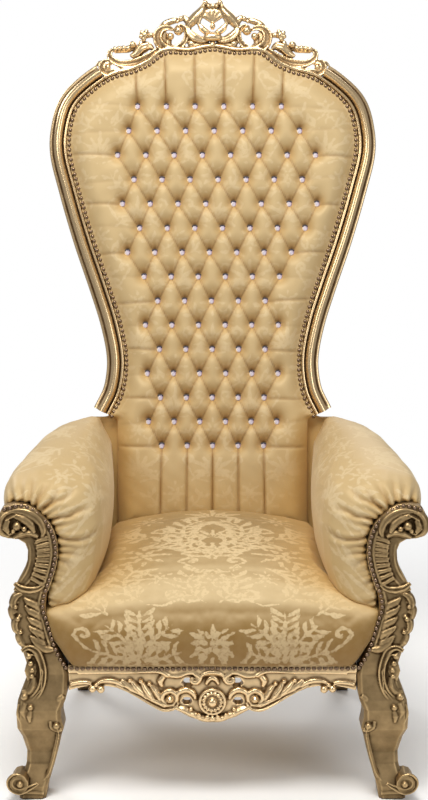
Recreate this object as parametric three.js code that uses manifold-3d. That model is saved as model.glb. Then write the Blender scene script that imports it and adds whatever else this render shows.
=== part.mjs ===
// A tall carved and gilded throne: a deep-buttoned back in a moulded frame with a pierced crest,
// rolled upholstered arms with carved scroll fronts, a sprung seat and cabriole front legs.
// Millimetres, +Z up. The throne faces -Y, and its origin is on the floor in the middle of its footprint.
// Right is +X. Pieces that come in pairs are modelled on the right and mirrored.
import * as THREE from 'three';
import { mergeVertices } from 'three/addons/utils/BufferGeometryUtils.js';
import Module from 'manifold-3d';

const wasm = await Module();
wasm.setup();

// Fits
const GAP = 0.3;                  // left between pieces that touch
const SEAM = 1.5;                 // left between neighbouring upholstered pieces

// Rails and levels above the floor
const RAIL_TOP = 308;             // top of the seat rails, where the upholstery starts
const RAIL_HEIGHT = 58;
const LIP_LEVEL = 478;            // joint between the front leg and the arm front
const FRONT_FACE = 385;           // depth in front of the origin of the plane of the front carving
const RAIL_REAR = 192;            // depth behind the origin where the side rails end

// Front legs
const LEG_BACK = 75;              // how far the leg's block reaches behind the front plane
const LEG_FACE = 12;              // how far the flat of the knee stands in front of that plane
const TOE_REACH = 44;             // how far the scrolled toe stands in front of it
const TOE_RADIUS = 21;
const TOE_CENTRE = [431, 42];     // across and up
const TOE_SUNK = 20;              // how far the toe reaches into the leg
const LEG_INNER = 322;            // half of the clear width between the legs at the rails
const LEG_CHAMFER = 9;

// Rear legs and plain rails
const REAR_LEG_X = 325;
const REAR_LEG_WIDTH = 44;
const REAR_LEG_DEPTH = 46;
const REAR_LEG_RAKE = 130;        // how far the foot stands behind the top of the leg
const REAR_LEG_SPLAY = 16;        // how far the foot stands outside the top of the leg
const REAR_LEG_CHAMFER = 5;
const SIDE_RAIL_THICK = 34;
const SIDE_RAIL_FRONT = 403;      // half width over the side rails at the front legs
const SIDE_RAIL_SETBACK = 4;      // how far the rails lie inside the faces of the rear legs
const BACK_RAIL_THICK = 38;

// Back frame, measured in the sloping plane of its face
const LEAN = 7.5;                 // degrees
const BACK_FOOT = 153.4;          // where that plane would meet the floor, behind the origin
const STILE_FOOT = 763;           // height along the slope of the lower ends of the stiles
const NAIL_PEAK = 1694;           // height along the slope of the nail line under the crest
const WAIST_HALF = 220;           // half widths of the nail line
const SHOULDER_HALF = 364;
const FLARE_HALF = 258;
const STILE_WIDTH = 52;           // from the nail line to the outer edge
const STILE_THICK = 48;
const STILE_RISE = 12;            // height of the bead over the plane of the back frame's face
const STILE_BEAD = [17, 40];      // edges of the bead, from the nail line
const STILE_BEAD_FOOT = 2;        // how far those edges lie below the plane
const STILE_FILLET = [12, 2];     // crest of the fillet beside the nails: distance and height
const STILE_HOLLOW = [45, -9];    // bottom of the hollow outside the bead
const STILE_EDGE = -14;           // height of the outer edge
const NAIL_MARGIN = 6;            // from the nail line to the edge of the rebate
const CREST_JOINT_HALF = 270;     // half width at the joints between the crest and the stiles
const CREST_THICK = 40;
const CREST_BASE = 20;            // outer edge of the moulding under the carving, from the nail line
const CREST_FILLET = [11, 4];     // crest of its fillet: distance and height
const CREST_SHOULDER = [16, 3];
const CREST_EDGE = -4;

// Buttoned back
const BUTTON_ROWS = 15;
const FIRST_ROW = 1549;           // height along the slope of the top row of buttons
const ROW_PITCH = 62;
const BUTTON_PITCH = 70;
const BUTTON_LOW = 5;             // how far the cover lies in front of its border at a button
const BUTTON_HIGH = 30;           // and in the middle of a diamond
const CUSHION_BACK = -21.7;
const CUSHION_BORDER = 2;
const CUSHION_FALL = 48;          // width of the slope from the border to the full height
const CUSHION_FOOT = 470;         // height along the slope where the cushion ends behind the seat
const CUSHION_FOOT_HALF = 243;    // half width between the arms
const CUSHION_SHOULDER = 757;     // height along the slope up to which it keeps that width

// Outside back
const PANEL_BACK = -54;
const PANEL_FRONT = -22;
const PANEL_FOOT_HALF = 345;      // half width behind the arms
const PANEL_CORNER = 26;

// Nails
const NAIL_WIDTH = 10;
const NAIL_PROUD = 3.7;

// Arms
const ARM_TOP_FRONT = 718;
const ARM_TOP_REAR = 766;
const ARM_REAR = 215;             // depth behind the origin of the last full section
const ARM_NECK_DROP = 34;          // how far the neck lies under the roll
const ARM_INSET = 120;            // depth behind the origin where the arms start to clear the back cushion

// Facings of the arms
const FACING_BACK = 30;
const FLUTES = 8;
const FLUTE_LEVELS = [502, 592];  // lowest and highest flute
const FLUTE_LENGTH = 30;

// Front rail
const APRON_HALF = LEG_INNER - GAP;
const APRON_BACK = 28;
const APRON_FACE = 4;
const APRON_BAND = 18;            // height of the plain band under the seat's nails
const APRON_END = 61;             // depth of the rail beside the legs
const ROSETTE_CENTRE = 224;
const ROSETTE_RADIUS = 31;
const ROSETTE_BOSS = 12;

// Materials
const gilt = () => new THREE.MeshStandardMaterial({ color: 0xcbb07c, roughness: 0.35, metalness: 0.85 });
const damask = () => new THREE.MeshStandardMaterial({ color: 0xdcbf8e, roughness: 0.6, metalness: 0 });
const bronze = () => new THREE.MeshStandardMaterial({ color: 0x6b5233, roughness: 0.4, metalness: 0.8 });

const REACH = 1000;               // beyond every piece, for the bodies that cut

// Solids and booleans

function toSolid(geometry) {
  const bare = geometry.index ? geometry.toNonIndexed() : geometry.clone();
  bare.deleteAttribute('normal');
  bare.deleteAttribute('uv');
  const merged = mergeVertices(bare, 1e-3);
  return new wasm.Manifold(new wasm.Mesh({
    numProp: 3,
    vertProperties: merged.attributes.position.array,
    triVerts: Uint32Array.from(merged.index.array),
  }));
}

function toGeometry(solid) {
  const mesh = solid.getMesh();
  const geometry = new THREE.BufferGeometry();
  geometry.setAttribute('position', new THREE.BufferAttribute(Float32Array.from(mesh.vertProperties), 3));
  geometry.setIndex(new THREE.BufferAttribute(Uint32Array.from(mesh.triVerts), 1));
  return geometry;
}

function join(geometries) {
  return toGeometry(geometries.map(toSolid).reduce((whole, solid) => whole.add(solid)));
}

function cut(geometry, cutters) {
  return toGeometry(cutters.map(toSolid).reduce((whole, solid) => whole.subtract(solid), toSolid(geometry)));
}

function signedVolume(geometry) {
  const points = geometry.attributes.position;
  const index = geometry.index;
  const corners = [new THREE.Vector3(), new THREE.Vector3(), new THREE.Vector3()];
  let volume = 0;
  for (let i = 0; i < index.count; i += 3) {
    corners.forEach((corner, k) => corner.fromBufferAttribute(points, index.getX(i + k)));
    volume += corners[0].dot(corners[1].clone().cross(corners[2])) / 6;
  }
  return volume;
}

function turnedInsideOut(geometry) {
  const index = geometry.index.array;
  for (let i = 0; i < index.length; i += 3) {
    [index[i], index[i + 1]] = [index[i + 1], index[i]];
  }
  return geometry;
}

function mirrored(geometry) {
  const copy = geometry.index ? geometry.clone() : mergeVertices(geometry);
  copy.applyMatrix4(new THREE.Matrix4().makeScale(-1, 1, 1));
  return turnedInsideOut(copy);
}

const onBothSides = (geometries) => [...geometries, ...geometries.map(mirrored)];

// Triangles that close the end ring of a lofted body, all turned the way that the ring runs.
function capFaces(ring) {
  const normal = new THREE.Vector3();
  ring.forEach((point, i) => normal.add(point.clone().cross(ring[(i + 1) % ring.length])));
  normal.normalize();
  const along = ring[1].clone().sub(ring[0]);
  along.addScaledVector(normal, -along.dot(normal)).normalize();
  const across = normal.clone().cross(along);
  const flat = ring.map((point) => new THREE.Vector2(point.dot(along), point.dot(across)));
  return THREE.ShapeUtils.triangulateShape(flat, []).map(([a, b, c]) => {
    const turn = flat[b].clone().sub(flat[a]).cross(flat[c].clone().sub(flat[a]));
    return turn > 0 ? [a, b, c] : [a, c, b];
  });
}

// A closed body through rings of equally many points, with flat ends.
function loft(rings) {
  const count = rings[0].length;
  const last = (rings.length - 1) * count;
  const index = [];
  for (let i = 0; i < last; i += count) {
    for (let j = 0; j < count; j += 1) {
      const next = (j + 1) % count;
      index.push(i + j, i + next, i + count + next, i + j, i + count + next, i + count + j);
    }
  }
  capFaces(rings[0]).forEach(([a, b, c]) => index.push(a, c, b));
  capFaces(rings[rings.length - 1]).forEach(([a, b, c]) => index.push(last + a, last + b, last + c));
  const geometry = new THREE.BufferGeometry().setFromPoints(rings.flat());
  geometry.setIndex(new THREE.BufferAttribute(Uint32Array.from(index), 1));
  return signedVolume(geometry) < 0 ? turnedInsideOut(geometry) : geometry;
}

function box(low, high) {
  const size = high.map((value, i) => value - low[i]);
  const geometry = new THREE.BoxGeometry(...size);
  return geometry.translate(...high.map((value, i) => (value + low[i]) / 2));
}

function slab(points, low, high, holes = []) {
  const shape = new THREE.Shape(points.map(([x, y]) => new THREE.Vector2(x, y)));
  holes.forEach((hole) => shape.holes.push(new THREE.Path(hole.map(([x, y]) => new THREE.Vector2(x, y)))));
  return new THREE.ExtrudeGeometry(shape, { depth: high - low, bevelEnabled: false }).translate(0, 0, low);
}

function between(values, share) {
  const place = share * (values.length - 1);
  const i = Math.min(Math.floor(place), values.length - 2);
  return THREE.MathUtils.lerp(values[i], values[i + 1], place - i);
}

const curveThrough = (points, closed = false) => new THREE.CatmullRomCurve3(
  points.map(([x, y]) => new THREE.Vector3(x, y, 0)), closed,
);

// Carving, made in the plane of its board with the relief towards +Z

// A limb of changing thickness along a curve, with a flat back and a ridge along its front.
function limb(points, radii, { depth = 1, lift = 0, steps = 4, sides = 3 } = {}) {
  const curve = curveThrough(points);
  const rings = [];
  for (let i = 0; i <= steps; i += 1) {
    const centre = curve.getPoint(i / steps);
    const tangent = curve.getTangent(i / steps);
    const radius = between(radii, i / steps);
    const ring = [];
    for (let j = 0; j < sides; j += 1) {
      const angle = (0.25 + j / sides) * 2 * Math.PI;
      const across = radius * Math.cos(angle);
      const out = lift + radius * depth * Math.sin(angle);
      ring.push(new THREE.Vector3(centre.x - tangent.y * across, centre.y + tangent.x * across, out));
    }
    rings.push(ring);
  }
  return loft(rings);
}

function ball(x, y, radius, { lift = 0, wide = 1, tall = 1, deep = 1 } = {}) {
  const geometry = new THREE.IcosahedronGeometry(radius, 0);
  return geometry.scale(wide, tall, deep).translate(x, y, lift);
}

// The part of a spiral from its outer radius to its eye
function spiral(x, y, radius, eye, start, turns, points = 9) {
  const path = [];
  for (let i = 0; i < points; i += 1) {
    const share = i / (points - 1);
    const angle = start + turns * 2 * Math.PI * share;
    const reach = THREE.MathUtils.lerp(radius, eye, share);
    path.push([x + reach * Math.cos(angle), y + reach * Math.sin(angle)]);
  }
  return path;
}

// The nail line of the back, which the stiles, the crest, the cushion and the nails all follow.
// Shares of the width run from the waist to the shoulder, shares of the height from foot to peak.
const SIDE_SHARES = [
  [0.076, 0.061], [0, 0.126], [0.007, 0.179], [0.118, 0.265], [0.313, 0.362], [0.604, 0.496],
  [0.854, 0.631], [1, 0.727], [0.986, 0.781], [0.868, 0.843], [0.59, 0.888], [0.243, 0.923],
];
// Under the crest: shares of the shoulder's half width and of the height
const CREST_SHARES = [[0.55, 0.94], [0.44, 0.96], [0.33, 0.9903], [0.165, 0.9903], [0, 1]];

function nailLinePoints() {
  const height = (share) => STILE_FOOT + share * (NAIL_PEAK - STILE_FOOT);
  const half = [
    [FLARE_HALF, STILE_FOOT],
    ...SIDE_SHARES.map(([w, h]) => [WAIST_HALF + w * (SHOULDER_HALF - WAIST_HALF), height(h)]),
    ...CREST_SHARES.map(([w, h]) => [w * SHOULDER_HALF, height(h)]),
  ];
  const other = half.slice(0, -1).reverse().map(([x, y]) => [-x, y]);
  return [...half, ...other];
}

const nailLine = curveThrough(nailLinePoints());
const NAIL_LINE_LENGTH = nailLine.getLength();

// A point beside the nail line, at a share of its length and a distance outwards
function besideNails(share, outwards) {
  const point = nailLine.getPointAt(share);
  const tangent = nailLine.getTangentAt(share);
  return new THREE.Vector2(point.x + tangent.y * outwards, point.y - tangent.x * outwards);
}

function jointShare() {
  let low = 0.3;
  let high = 0.5;
  for (let i = 0; i < 30; i += 1) {
    const middle = (low + high) / 2;
    if (nailLine.getPointAt(middle).x > CREST_JOINT_HALF) low = middle;
    else high = middle;
  }
  return low;
}

const JOINT = jointShare();

// Stations that every piece along the nail line shares, so that their facets lie side by side
const STILE_STEPS = 15;
const CREST_STEPS = 12;
const span = (from, to, steps) => Array.from(
  { length: steps + 1 }, (_, i) => THREE.MathUtils.lerp(from, to, i / steps),
);
const stileShares = span(0, JOINT, STILE_STEPS);
const crestShares = span(JOINT, 1 - JOINT, CREST_STEPS);
const allShares = [
  ...stileShares, ...crestShares.slice(1, -1), ...stileShares.map((share) => 1 - share).reverse(),
];

// A moulding along a stretch of the nail line. Its section is [distance outwards, height] pairs.
function moulding(section, shares) {
  return loft(shares.map((share) => section.map(([outwards, height]) => {
    const point = besideNails(share, outwards);
    return new THREE.Vector3(point.x, point.y, height);
  })));
}

function nailLineOffset(outwards) {
  return allShares.map((share) => besideNails(share, outwards).toArray());
}

// Stiles: a round bead between a fillet by the nails and a hollow at the outer edge
function stileSection() {
  const inner = NAIL_MARGIN + GAP;
  const [beadFrom, beadTo] = STILE_BEAD;
  const bead = [];
  for (let i = 0; i <= 3; i += 1) {
    const angle = Math.PI * (1 - i / 3);
    const across = (beadFrom + beadTo) / 2 + ((beadTo - beadFrom) / 2) * Math.cos(angle);
    bead.push([across, (STILE_RISE + STILE_BEAD_FOOT) * Math.sin(angle) - STILE_BEAD_FOOT]);
  }
  return [
    [inner, -STILE_THICK], [inner, 0], STILE_FILLET, ...bead,
    STILE_HOLLOW, [STILE_WIDTH, STILE_EDGE], [STILE_WIDTH, -STILE_THICK],
  ];
}

function stile() {
  const gapShare = GAP / NAIL_LINE_LENGTH;
  return moulding(stileSection(), [...stileShares.slice(0, -1), JOINT - gapShare]);
}

// Crest rail: a moulding along the nails that carries the pierced carving
function crestBase() {
  const inner = NAIL_MARGIN + GAP;
  return moulding([
    [inner, -CREST_THICK], [inner, 0], CREST_FILLET, CREST_SHOULDER, [CREST_BASE, CREST_EDGE],
    [CREST_BASE, -CREST_THICK],
  ], crestShares);
}

// The crest ends against the stiles and follows the rebate of the cushion.
function crestRail() {
  const stileRoom = moulding([
    [NAIL_MARGIN, -STILE_THICK - 1], [NAIL_MARGIN, STILE_RISE], [STILE_WIDTH, STILE_RISE],
    [STILE_WIDTH, -STILE_THICK - 1],
  ], stileShares);
  const foot = [[-SHOULDER_HALF, STILE_FOOT], [SHOULDER_HALF, STILE_FOOT]];
  const rebate = slab([...foot, ...nailLineOffset(NAIL_MARGIN + GAP)], -2 * CREST_THICK, 2 * CREST_THICK);
  const carving = cut(join(crestCarving()), [rebate, stileRoom, mirrored(stileRoom)]);
  return join([crestBase(), carving]);
}

// Free carving, placed from the middle of the nail line's peak
function crestCarving() {
  const at = (points) => points.map(([x, y]) => [x, NAIL_PEAK + y]);
  const knob = (x, y, radius, options) => ball(x, NAIL_PEAK + y, radius, options);
  const half = [
    // side of the cartouche, from the top curl down to the tie bar
    limb(at([[23, 116], [45, 92], [58, 68], [58, 44], [42, 24], [16, 13]]), [9, 12, 15, 14, 10, 8],
      { lift: -6, steps: 5 }),
    // inner pointed arch round the shell
    limb(at([[30, 60], [26, 84], [14, 96], [-2, 106]]), [5, 5, 5, 6], { lift: -8, steps: 3 }),
    // outer leaf curl
    limb(at([[54, 62], [68, 70], [86, 78]]), [9, 8, 9], { lift: -7, steps: 2 }),
    // C scroll with its two balls
    limb(
      at([
        [88, 52], [73, 46], [69, 28], [82, 10], [105, -4],
        [132, 3], [146, 25], [140, 48], [122, 57], [102, 54],
      ]),
      [8, 8, 8, 8, 10, 10, 9, 8, 7, 5], { lift: -6, steps: 8 },
    ),
    knob(91, 49, 13),
    knob(112, 32, 10, { lift: -2 }),
    knob(126, 24, 20, { lift: -14, deep: 0.5, wide: 0.9 }),
    // plain top edge of the board behind the scroll
    limb(at([[142, 40], [124, 68], [90, 76]]), [9, 8, 7], { lift: -13, steps: 3 }),
    // outer finial
    limb(at([[142, 34], [160, 40], [178, 38]]), [9, 7, 9], { lift: -8, steps: 2 }),
    knob(182, 37, 13, { lift: -6 }),
    // lower S scroll with its leaf lobes
    limb(
      at([[142, 2], [160, -8], [184, -26], [212, -40], [246, -36], [270, -20], [268, -4], [250, 0]]),
      [7, 9, 11, 12, 10, 8, 7, 6], { lift: -6, steps: 6 },
    ),
    limb(at([[168, -14], [178, 12], [196, 18], [214, 12], [236, 4], [256, -6]]), [9, 13, 11, 10, 9, 8],
      { lift: -7, steps: 4 }),
    // end volute over the joint, and its leaf tip
    limb(at([[258, -16], [274, -30], [290, -42]]), [10, 8, 4], { lift: -8, steps: 2 }),
    // diamond leaf that ties the cartouche to the moulding
    limb(at([[54, 32], [56, 14], [60, -2]]), [6, 9, 6], { lift: -8, steps: 2 }),
  ];
  return [
    ...onBothSides(half),
    // arch between the top curls
    limb(at([[-28, 112], [0, 116], [28, 112]]), [6, 5, 6], { lift: -6, steps: 4 }),
    // shell in the middle of the cartouche
    knob(0, 83, 18, { lift: -6, deep: 0.7, tall: 1.15 }),
    limb(at([[0, 70], [0, 52], [0, 30]]), [10, 6, 9], { lift: -8, steps: 2 }),
    // tie bar with its boss, and the leaf knob under it
    knob(0, 25, 13, { lift: -2, wide: 2, deep: 1.1 }),
    limb(at([[-34, 18], [0, 22], [34, 18]]), [8, 10, 8], { lift: -8, steps: 2 }),
    limb(at([[0, 14], [0, -2]]), [8, 9], { lift: -8, steps: 1 }),
  ];
}

// Deep-buttoned front of the back. Buttons are the low points of a staggered grid, and the folds run
// from button to button.
function cushionOutline() {
  const rim = nailLineOffset(NAIL_MARGIN);
  const foot = [[CUSHION_FOOT_HALF, CUSHION_FOOT], [CUSHION_FOOT_HALF, CUSHION_SHOULDER]];
  return [...foot, ...rim, ...foot.map(([x, y]) => [-x, y]).reverse()];
}

function distanceToOutline(x, y, outline) {
  let nearest = Infinity;
  let inside = false;
  const point = new THREE.Vector3(x, y, 0);
  const segment = new THREE.Line3();
  const closest = new THREE.Vector3();
  outline.forEach(([ax, ay], i) => {
    const [bx, by] = outline[(i + 1) % outline.length];
    segment.start.set(ax, ay, 0);
    segment.end.set(bx, by, 0);
    segment.closestPointToPoint(point, true, closest);
    nearest = Math.min(nearest, closest.distanceTo(point));
    if ((ay > y) !== (by > y) && x < ax + ((y - ay) / (by - ay)) * (bx - ax)) inside = !inside;
  });
  return inside ? nearest : 0;
}

function cushionHeight(column, row, x, y, outline) {
  const buttoned = row >= 1 && row <= BUTTON_ROWS;
  const isButton = buttoned && (column + row) % 2 === 0;
  const isPleat = !buttoned && Math.abs(column + row) % 2 === 0;
  let height = BUTTON_HIGH;
  if (isButton) height = BUTTON_LOW;
  if (isPleat) height = (BUTTON_HIGH * 2) / 3;
  const fall = THREE.MathUtils.smoothstep(distanceToOutline(x, y, outline), NAIL_MARGIN, CUSHION_FALL);
  return CUSHION_BORDER + fall * height;
}

function cushionField(outline) {
  const columns = Math.ceil((2 * (SHOULDER_HALF + NAIL_MARGIN)) / BUTTON_PITCH) + 1;
  const topRow = -Math.ceil((NAIL_PEAK - FIRST_ROW) / ROW_PITCH);
  const lastRow = Math.ceil((FIRST_ROW - CUSHION_FOOT) / ROW_PITCH) + 1;
  const rows = lastRow - topRow;
  const across = 2 * columns;
  const points = [];
  for (let j = 0; j <= rows; j += 1) {
    for (let i = 0; i <= across; i += 1) {
      const column = i - columns;
      const row = topRow + j;
      const x = (column * BUTTON_PITCH) / 2;
      const y = FIRST_ROW - (row - 1) * ROW_PITCH;
      points.push(new THREE.Vector3(x, y, cushionHeight(column, row, x, y, outline)));
    }
  }
  return { points, across, rows, columns, topRow };
}

function backCushion() {
  const outline = cushionOutline();
  const { points, across, rows, columns, topRow } = cushionField(outline);
  const stride = across + 1;
  const count = points.length;
  const back = points.map((point) => new THREE.Vector3(point.x, point.y, CUSHION_BACK - 10));
  const index = [];
  const quad = (a, b, c, d, turned) => {
    if (turned) index.push(a, b, c, a, c, d);
    else index.push(b, c, d, b, d, a);
  };
  for (let j = 0; j < rows; j += 1) {
    for (let i = 0; i < across; i += 1) {
      const a = j * stride + i;
      const low = Math.abs(i - columns + topRow + j) % 2 === 0;
      quad(a, a + stride, a + stride + 1, a + 1, low);
      quad(count + a + 1, count + a + stride + 1, count + a + stride, count + a, low);
    }
  }
  const rim = [];
  for (let i = 0; i < across; i += 1) rim.push(i);
  for (let j = 0; j < rows; j += 1) rim.push(j * stride + across);
  for (let i = across; i > 0; i -= 1) rim.push(rows * stride + i);
  for (let j = rows; j > 0; j -= 1) rim.push(j * stride);
  rim.forEach((a, i) => {
    const b = rim[(i + 1) % rim.length];
    index.push(a, b, count + b, a, count + b, count + a);
  });
  const field = new THREE.BufferGeometry().setFromPoints([...points, ...back]);
  field.setIndex(new THREE.BufferAttribute(Uint32Array.from(index), 1));
  if (signedVolume(field) < 0) turnedInsideOut(field);
  const prism = slab(outline, CUSHION_BACK, CUSHION_BORDER + BUTTON_HIGH + 1);
  const shaped = toGeometry(toSolid(field).intersect(toSolid(prism)));
  return cut(shaped, [nailBed()]);
}

// The flat border that the nails go through
function nailBed() {
  const outer = nailLineOffset(NAIL_MARGIN + 2);
  const inner = nailLineOffset(-NAIL_MARGIN - 1).reverse();
  return slab([...outer, ...inner], CUSHION_BORDER, CUSHION_BORDER + BUTTON_HIGH);
}

function backNails() {
  const outer = nailLineOffset(NAIL_WIDTH / 2);
  const inner = nailLineOffset(-NAIL_WIDTH / 2).reverse();
  return slab([...outer, ...inner], CUSHION_BORDER + GAP, CUSHION_BORDER + GAP + NAIL_PROUD);
}

// Outside back: a covered board inside the frame that widens behind the arms
function backPanel() {
  const upper = nailLineOffset(NAIL_MARGIN);
  const upperFoot = [[FLARE_HALF, panelFoot()], [-FLARE_HALF, panelFoot()]];
  const shoulder = STILE_FOOT - SEAM;
  const corner = (side) => [0, 1, 2, 3].map((i) => {
    const angle = (i / 3) * (Math.PI / 2);
    const [x, y] = [PANEL_FOOT_HALF - PANEL_CORNER, shoulder - PANEL_CORNER];
    return [side * (x + PANEL_CORNER * Math.cos(angle)), y + PANEL_CORNER * Math.sin(angle)];
  });
  const lower = [
    [-PANEL_FOOT_HALF, panelFoot()], [PANEL_FOOT_HALF, panelFoot()], ...corner(1), ...corner(-1).reverse(),
  ];
  return join([
    slab([...upper, upperFoot[1], upperFoot[0]], PANEL_BACK, PANEL_FRONT),
    slab(lower, PANEL_BACK, PANEL_FRONT),
  ]);
}

function panelFoot() {
  const lean = THREE.MathUtils.degToRad(LEAN);
  return (RAIL_TOP + 2 * GAP - PANEL_BACK * Math.sin(lean)) / Math.cos(lean);
}

// Nail line down the arm front and the knee, and the front edges that follow it
const ARM_NAILS = [
  [455, 664], [420, 671], [394, 662], [376, 645], [364, 633], [351, 607], [345, 571], [350, 535], [359, 505],
  [368, 480], [374, 457], [375, 437], [367, 409], [357, 372], [350, 349], [340, 326], [331, 311],
];

function offsetPath(points, distance, steps) {
  const curve = curveThrough(points);
  const path = [];
  for (let i = 0; i <= steps; i += 1) {
    const point = curve.getPoint(i / steps);
    const tangent = curve.getTangent(i / steps);
    path.push([point.x - tangent.y * distance, point.y + tangent.x * distance]);
  }
  return path;
}

function armNails() {
  const outer = offsetPath(ARM_NAILS, NAIL_WIDTH / 2, 20);
  const inner = offsetPath(ARM_NAILS, -NAIL_WIDTH / 2, 20).reverse();
  return slab([...outer, ...inner], LEG_FACE + GAP, LEG_FACE + GAP + NAIL_PROUD);
}

// Arm front: a carved scroll board with a fluted neck. Its inner edge stands outside the nails.
const FACING_OUTER = [
  [438, LIP_LEVEL + GAP], [434, 492], [416, 524], [407, 549], [407, 578], [419, 594], [450, 598], [467, 614],
  [472, 640], [464, 660],
];

function facingOutline(growth) {
  const nails = ARM_NAILS.slice(0, 10);
  const inner = offsetPath(nails, -NAIL_MARGIN - growth, 13);
  const outer = offsetPath(FACING_OUTER, -growth, 12);
  const foot = inner[inner.length - 1];
  return [...outer, ...inner.slice(0, -1), [foot[0], LIP_LEVEL + GAP - growth]];
}

function nailLevelX(level) {
  for (let i = 4; i < ARM_NAILS.length - 1; i += 1) {
    const [ax, ay] = ARM_NAILS[i];
    const [bx, by] = ARM_NAILS[i + 1];
    if (level <= ay && level >= by) return THREE.MathUtils.lerp(ax, bx, (ay - level) / (ay - by));
  }
  return ARM_NAILS[ARM_NAILS.length - 1][0];
}

function armFront() {
  const face = LEG_FACE - 2;
  const flutes = [];
  for (let i = 0; i < FLUTES; i += 1) {
    const level = THREE.MathUtils.lerp(...FLUTE_LEVELS, i / (FLUTES - 1));
    const inner = nailLevelX(level) + 2 * NAIL_MARGIN;
    const slope = THREE.MathUtils.lerp(-6, 4, i / (FLUTES - 1));
    const ends = [[inner, level + slope], [inner + FLUTE_LENGTH, level - slope]];
    flutes.push(limb(ends, [4.5, 5.5], { lift: LEG_FACE, steps: 1 }));
  }
  return join([
    slab(facingOutline(0), -FACING_BACK, LEG_FACE),
    ...flutes,
    // acanthus curling round the volute
    limb([[372, 604], [384, 634], [412, 652], [442, 648], [460, 626], [448, 608], [428, 612]],
      [7, 10, 12, 12, 11, 9, 6], { lift: face, steps: 7 }),
    ball(428, 630, 11, { lift: face + 2 }),
    limb([[388, 606], [406, 612], [424, 604]], [7, 8, 5], { lift: face, steps: 2 }),
    // lip at the foot of the flutes
    limb([[374, 490], [396, 486], [420, 487], [434, 494]], [4, 6, 6, 4], { lift: face, steps: 3 }),
  ]);
}

// Front leg: knee and cabriole leg. Each level is [height, inner edge, outer edge, front, back].
const LEG_LEVELS = [
  [LIP_LEVEL, 364, 438, LEG_FACE, -45], [455, 368, 446, LEG_FACE, -48], [437, 369, 448, LEG_FACE, -50],
  [409, 361, 446, LEG_FACE, -54], [375, 351, 436, LEG_FACE, -60], [340, 339, 423, LEG_FACE, -68],
  [RAIL_TOP, LEG_INNER + 2, 413, LEG_FACE, -LEG_BACK], [285, LEG_INNER, 413, LEG_FACE, -LEG_BACK],
  [RAIL_TOP - RAIL_HEIGHT, 324, 425, 16, -LEG_BACK], [228, 328, 434, 20, -66], [205, 338, 437, 22, -60],
  [185, 338, 438, 20, -58], [160, 333, 437, 16, -55], [139, 340, 427, 8, -52], [102, 348, 418, -2, -50],
  [76, 355, 419, 2, -50], [50, 363, 426, 16, -48], [30, 370, 432, 26, -47], [0, 374, 434, 26, -45],
];

function legBody() {
  return loft(LEG_LEVELS.map(([level, inner, outer, front, back]) => [
    [inner, back], [inner, front - LEG_CHAMFER], [inner + LEG_CHAMFER, front], [outer - LEG_CHAMFER, front],
    [outer, front - LEG_CHAMFER], [outer, back],
  ].map(([x, z]) => new THREE.Vector3(x, level, z))));
}

function frontLeg() {
  const [toeX, toeY] = TOE_CENTRE;
  const toe = new THREE.CylinderGeometry(TOE_RADIUS, TOE_RADIUS, TOE_REACH + TOE_SUNK, 10);
  const flutes = [0, 1, 2, 3].map((i) => {
    const drop = i * 27;
    return limb([[414 - 5 * i, 447 - drop], [392 - 5 * i, 424 - drop]], [7, 6], { lift: LEG_FACE, steps: 1 });
  });
  const leaves = [[436, 454, 10], [440, 432, 10], [437, 408, 9], [429, 384, 9], [422, 360, 8]];
  return join([
    legBody(),
    toe.rotateX(Math.PI / 2).translate(toeX, toeY, (TOE_REACH - TOE_SUNK) / 2),
    ...flutes,
    ...leaves.map(([x, y, radius]) => ball(x, y, radius, { lift: LEG_FACE - 4 })),
    // C cartouche with its bead drop
    limb([[412, 337], [398, 336], [380, 310], [377, 272], [386, 244], [406, 228], [427, 234]],
      [5, 5, 6, 6, 6, 6, 4], { lift: LEG_FACE + 1, steps: 5, depth: 1.2 }),
    ball(404, 296, 16, { lift: LEG_FACE, deep: 0.4, tall: 1.7 }),
    // bead down the inner edge and under the toe
    limb([[346, 168], [343, 148], [352, 104], [365, 60], [386, 32], [417, 23]], [7, 5, 4, 4, 5, 4],
      { lift: 10, steps: 5, depth: 2.4 }),
  ]);
}

// Front rail, pierced on both sides of a rosette
const APRON_EDGE = [
  [301, 253], [279, 257], [250, 258], [234, 257], [214, 253], [184, 241], [148, 223], [107, 204], [84, 205],
  [66, 207], [46, 194], [22, 180], [0, 175],
];

function apronOutline() {
  const right = [[APRON_HALF, RAIL_TOP - APRON_END], ...APRON_EDGE];
  const left = right.slice(0, -1).reverse().map(([x, y]) => [-x, y]);
  return [[APRON_HALF, RAIL_TOP], ...right, ...left, [-APRON_HALF, RAIL_TOP]];
}

function ovalHole(x, y, wide, tall) {
  const points = [];
  for (let i = 0; i < 6; i += 1) {
    const angle = (i / 6) * 2 * Math.PI;
    points.push([x + wide * Math.cos(angle), y + tall * Math.sin(angle)]);
  }
  return points;
}

function rosette() {
  const rim = new THREE.CylinderGeometry(ROSETTE_RADIUS - 2, ROSETTE_RADIUS, 8, 14).rotateX(Math.PI / 2);
  const ring = new THREE.CylinderGeometry(ROSETTE_RADIUS - 10, ROSETTE_RADIUS - 4, 6, 14);
  return [
    rim.translate(0, ROSETTE_CENTRE, APRON_FACE + 3),
    ring.rotateX(Math.PI / 2).translate(0, ROSETTE_CENTRE, APRON_FACE + 9),
    ball(0, ROSETTE_CENTRE, ROSETTE_BOSS, { lift: APRON_FACE + 10 }),
  ];
}

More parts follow.
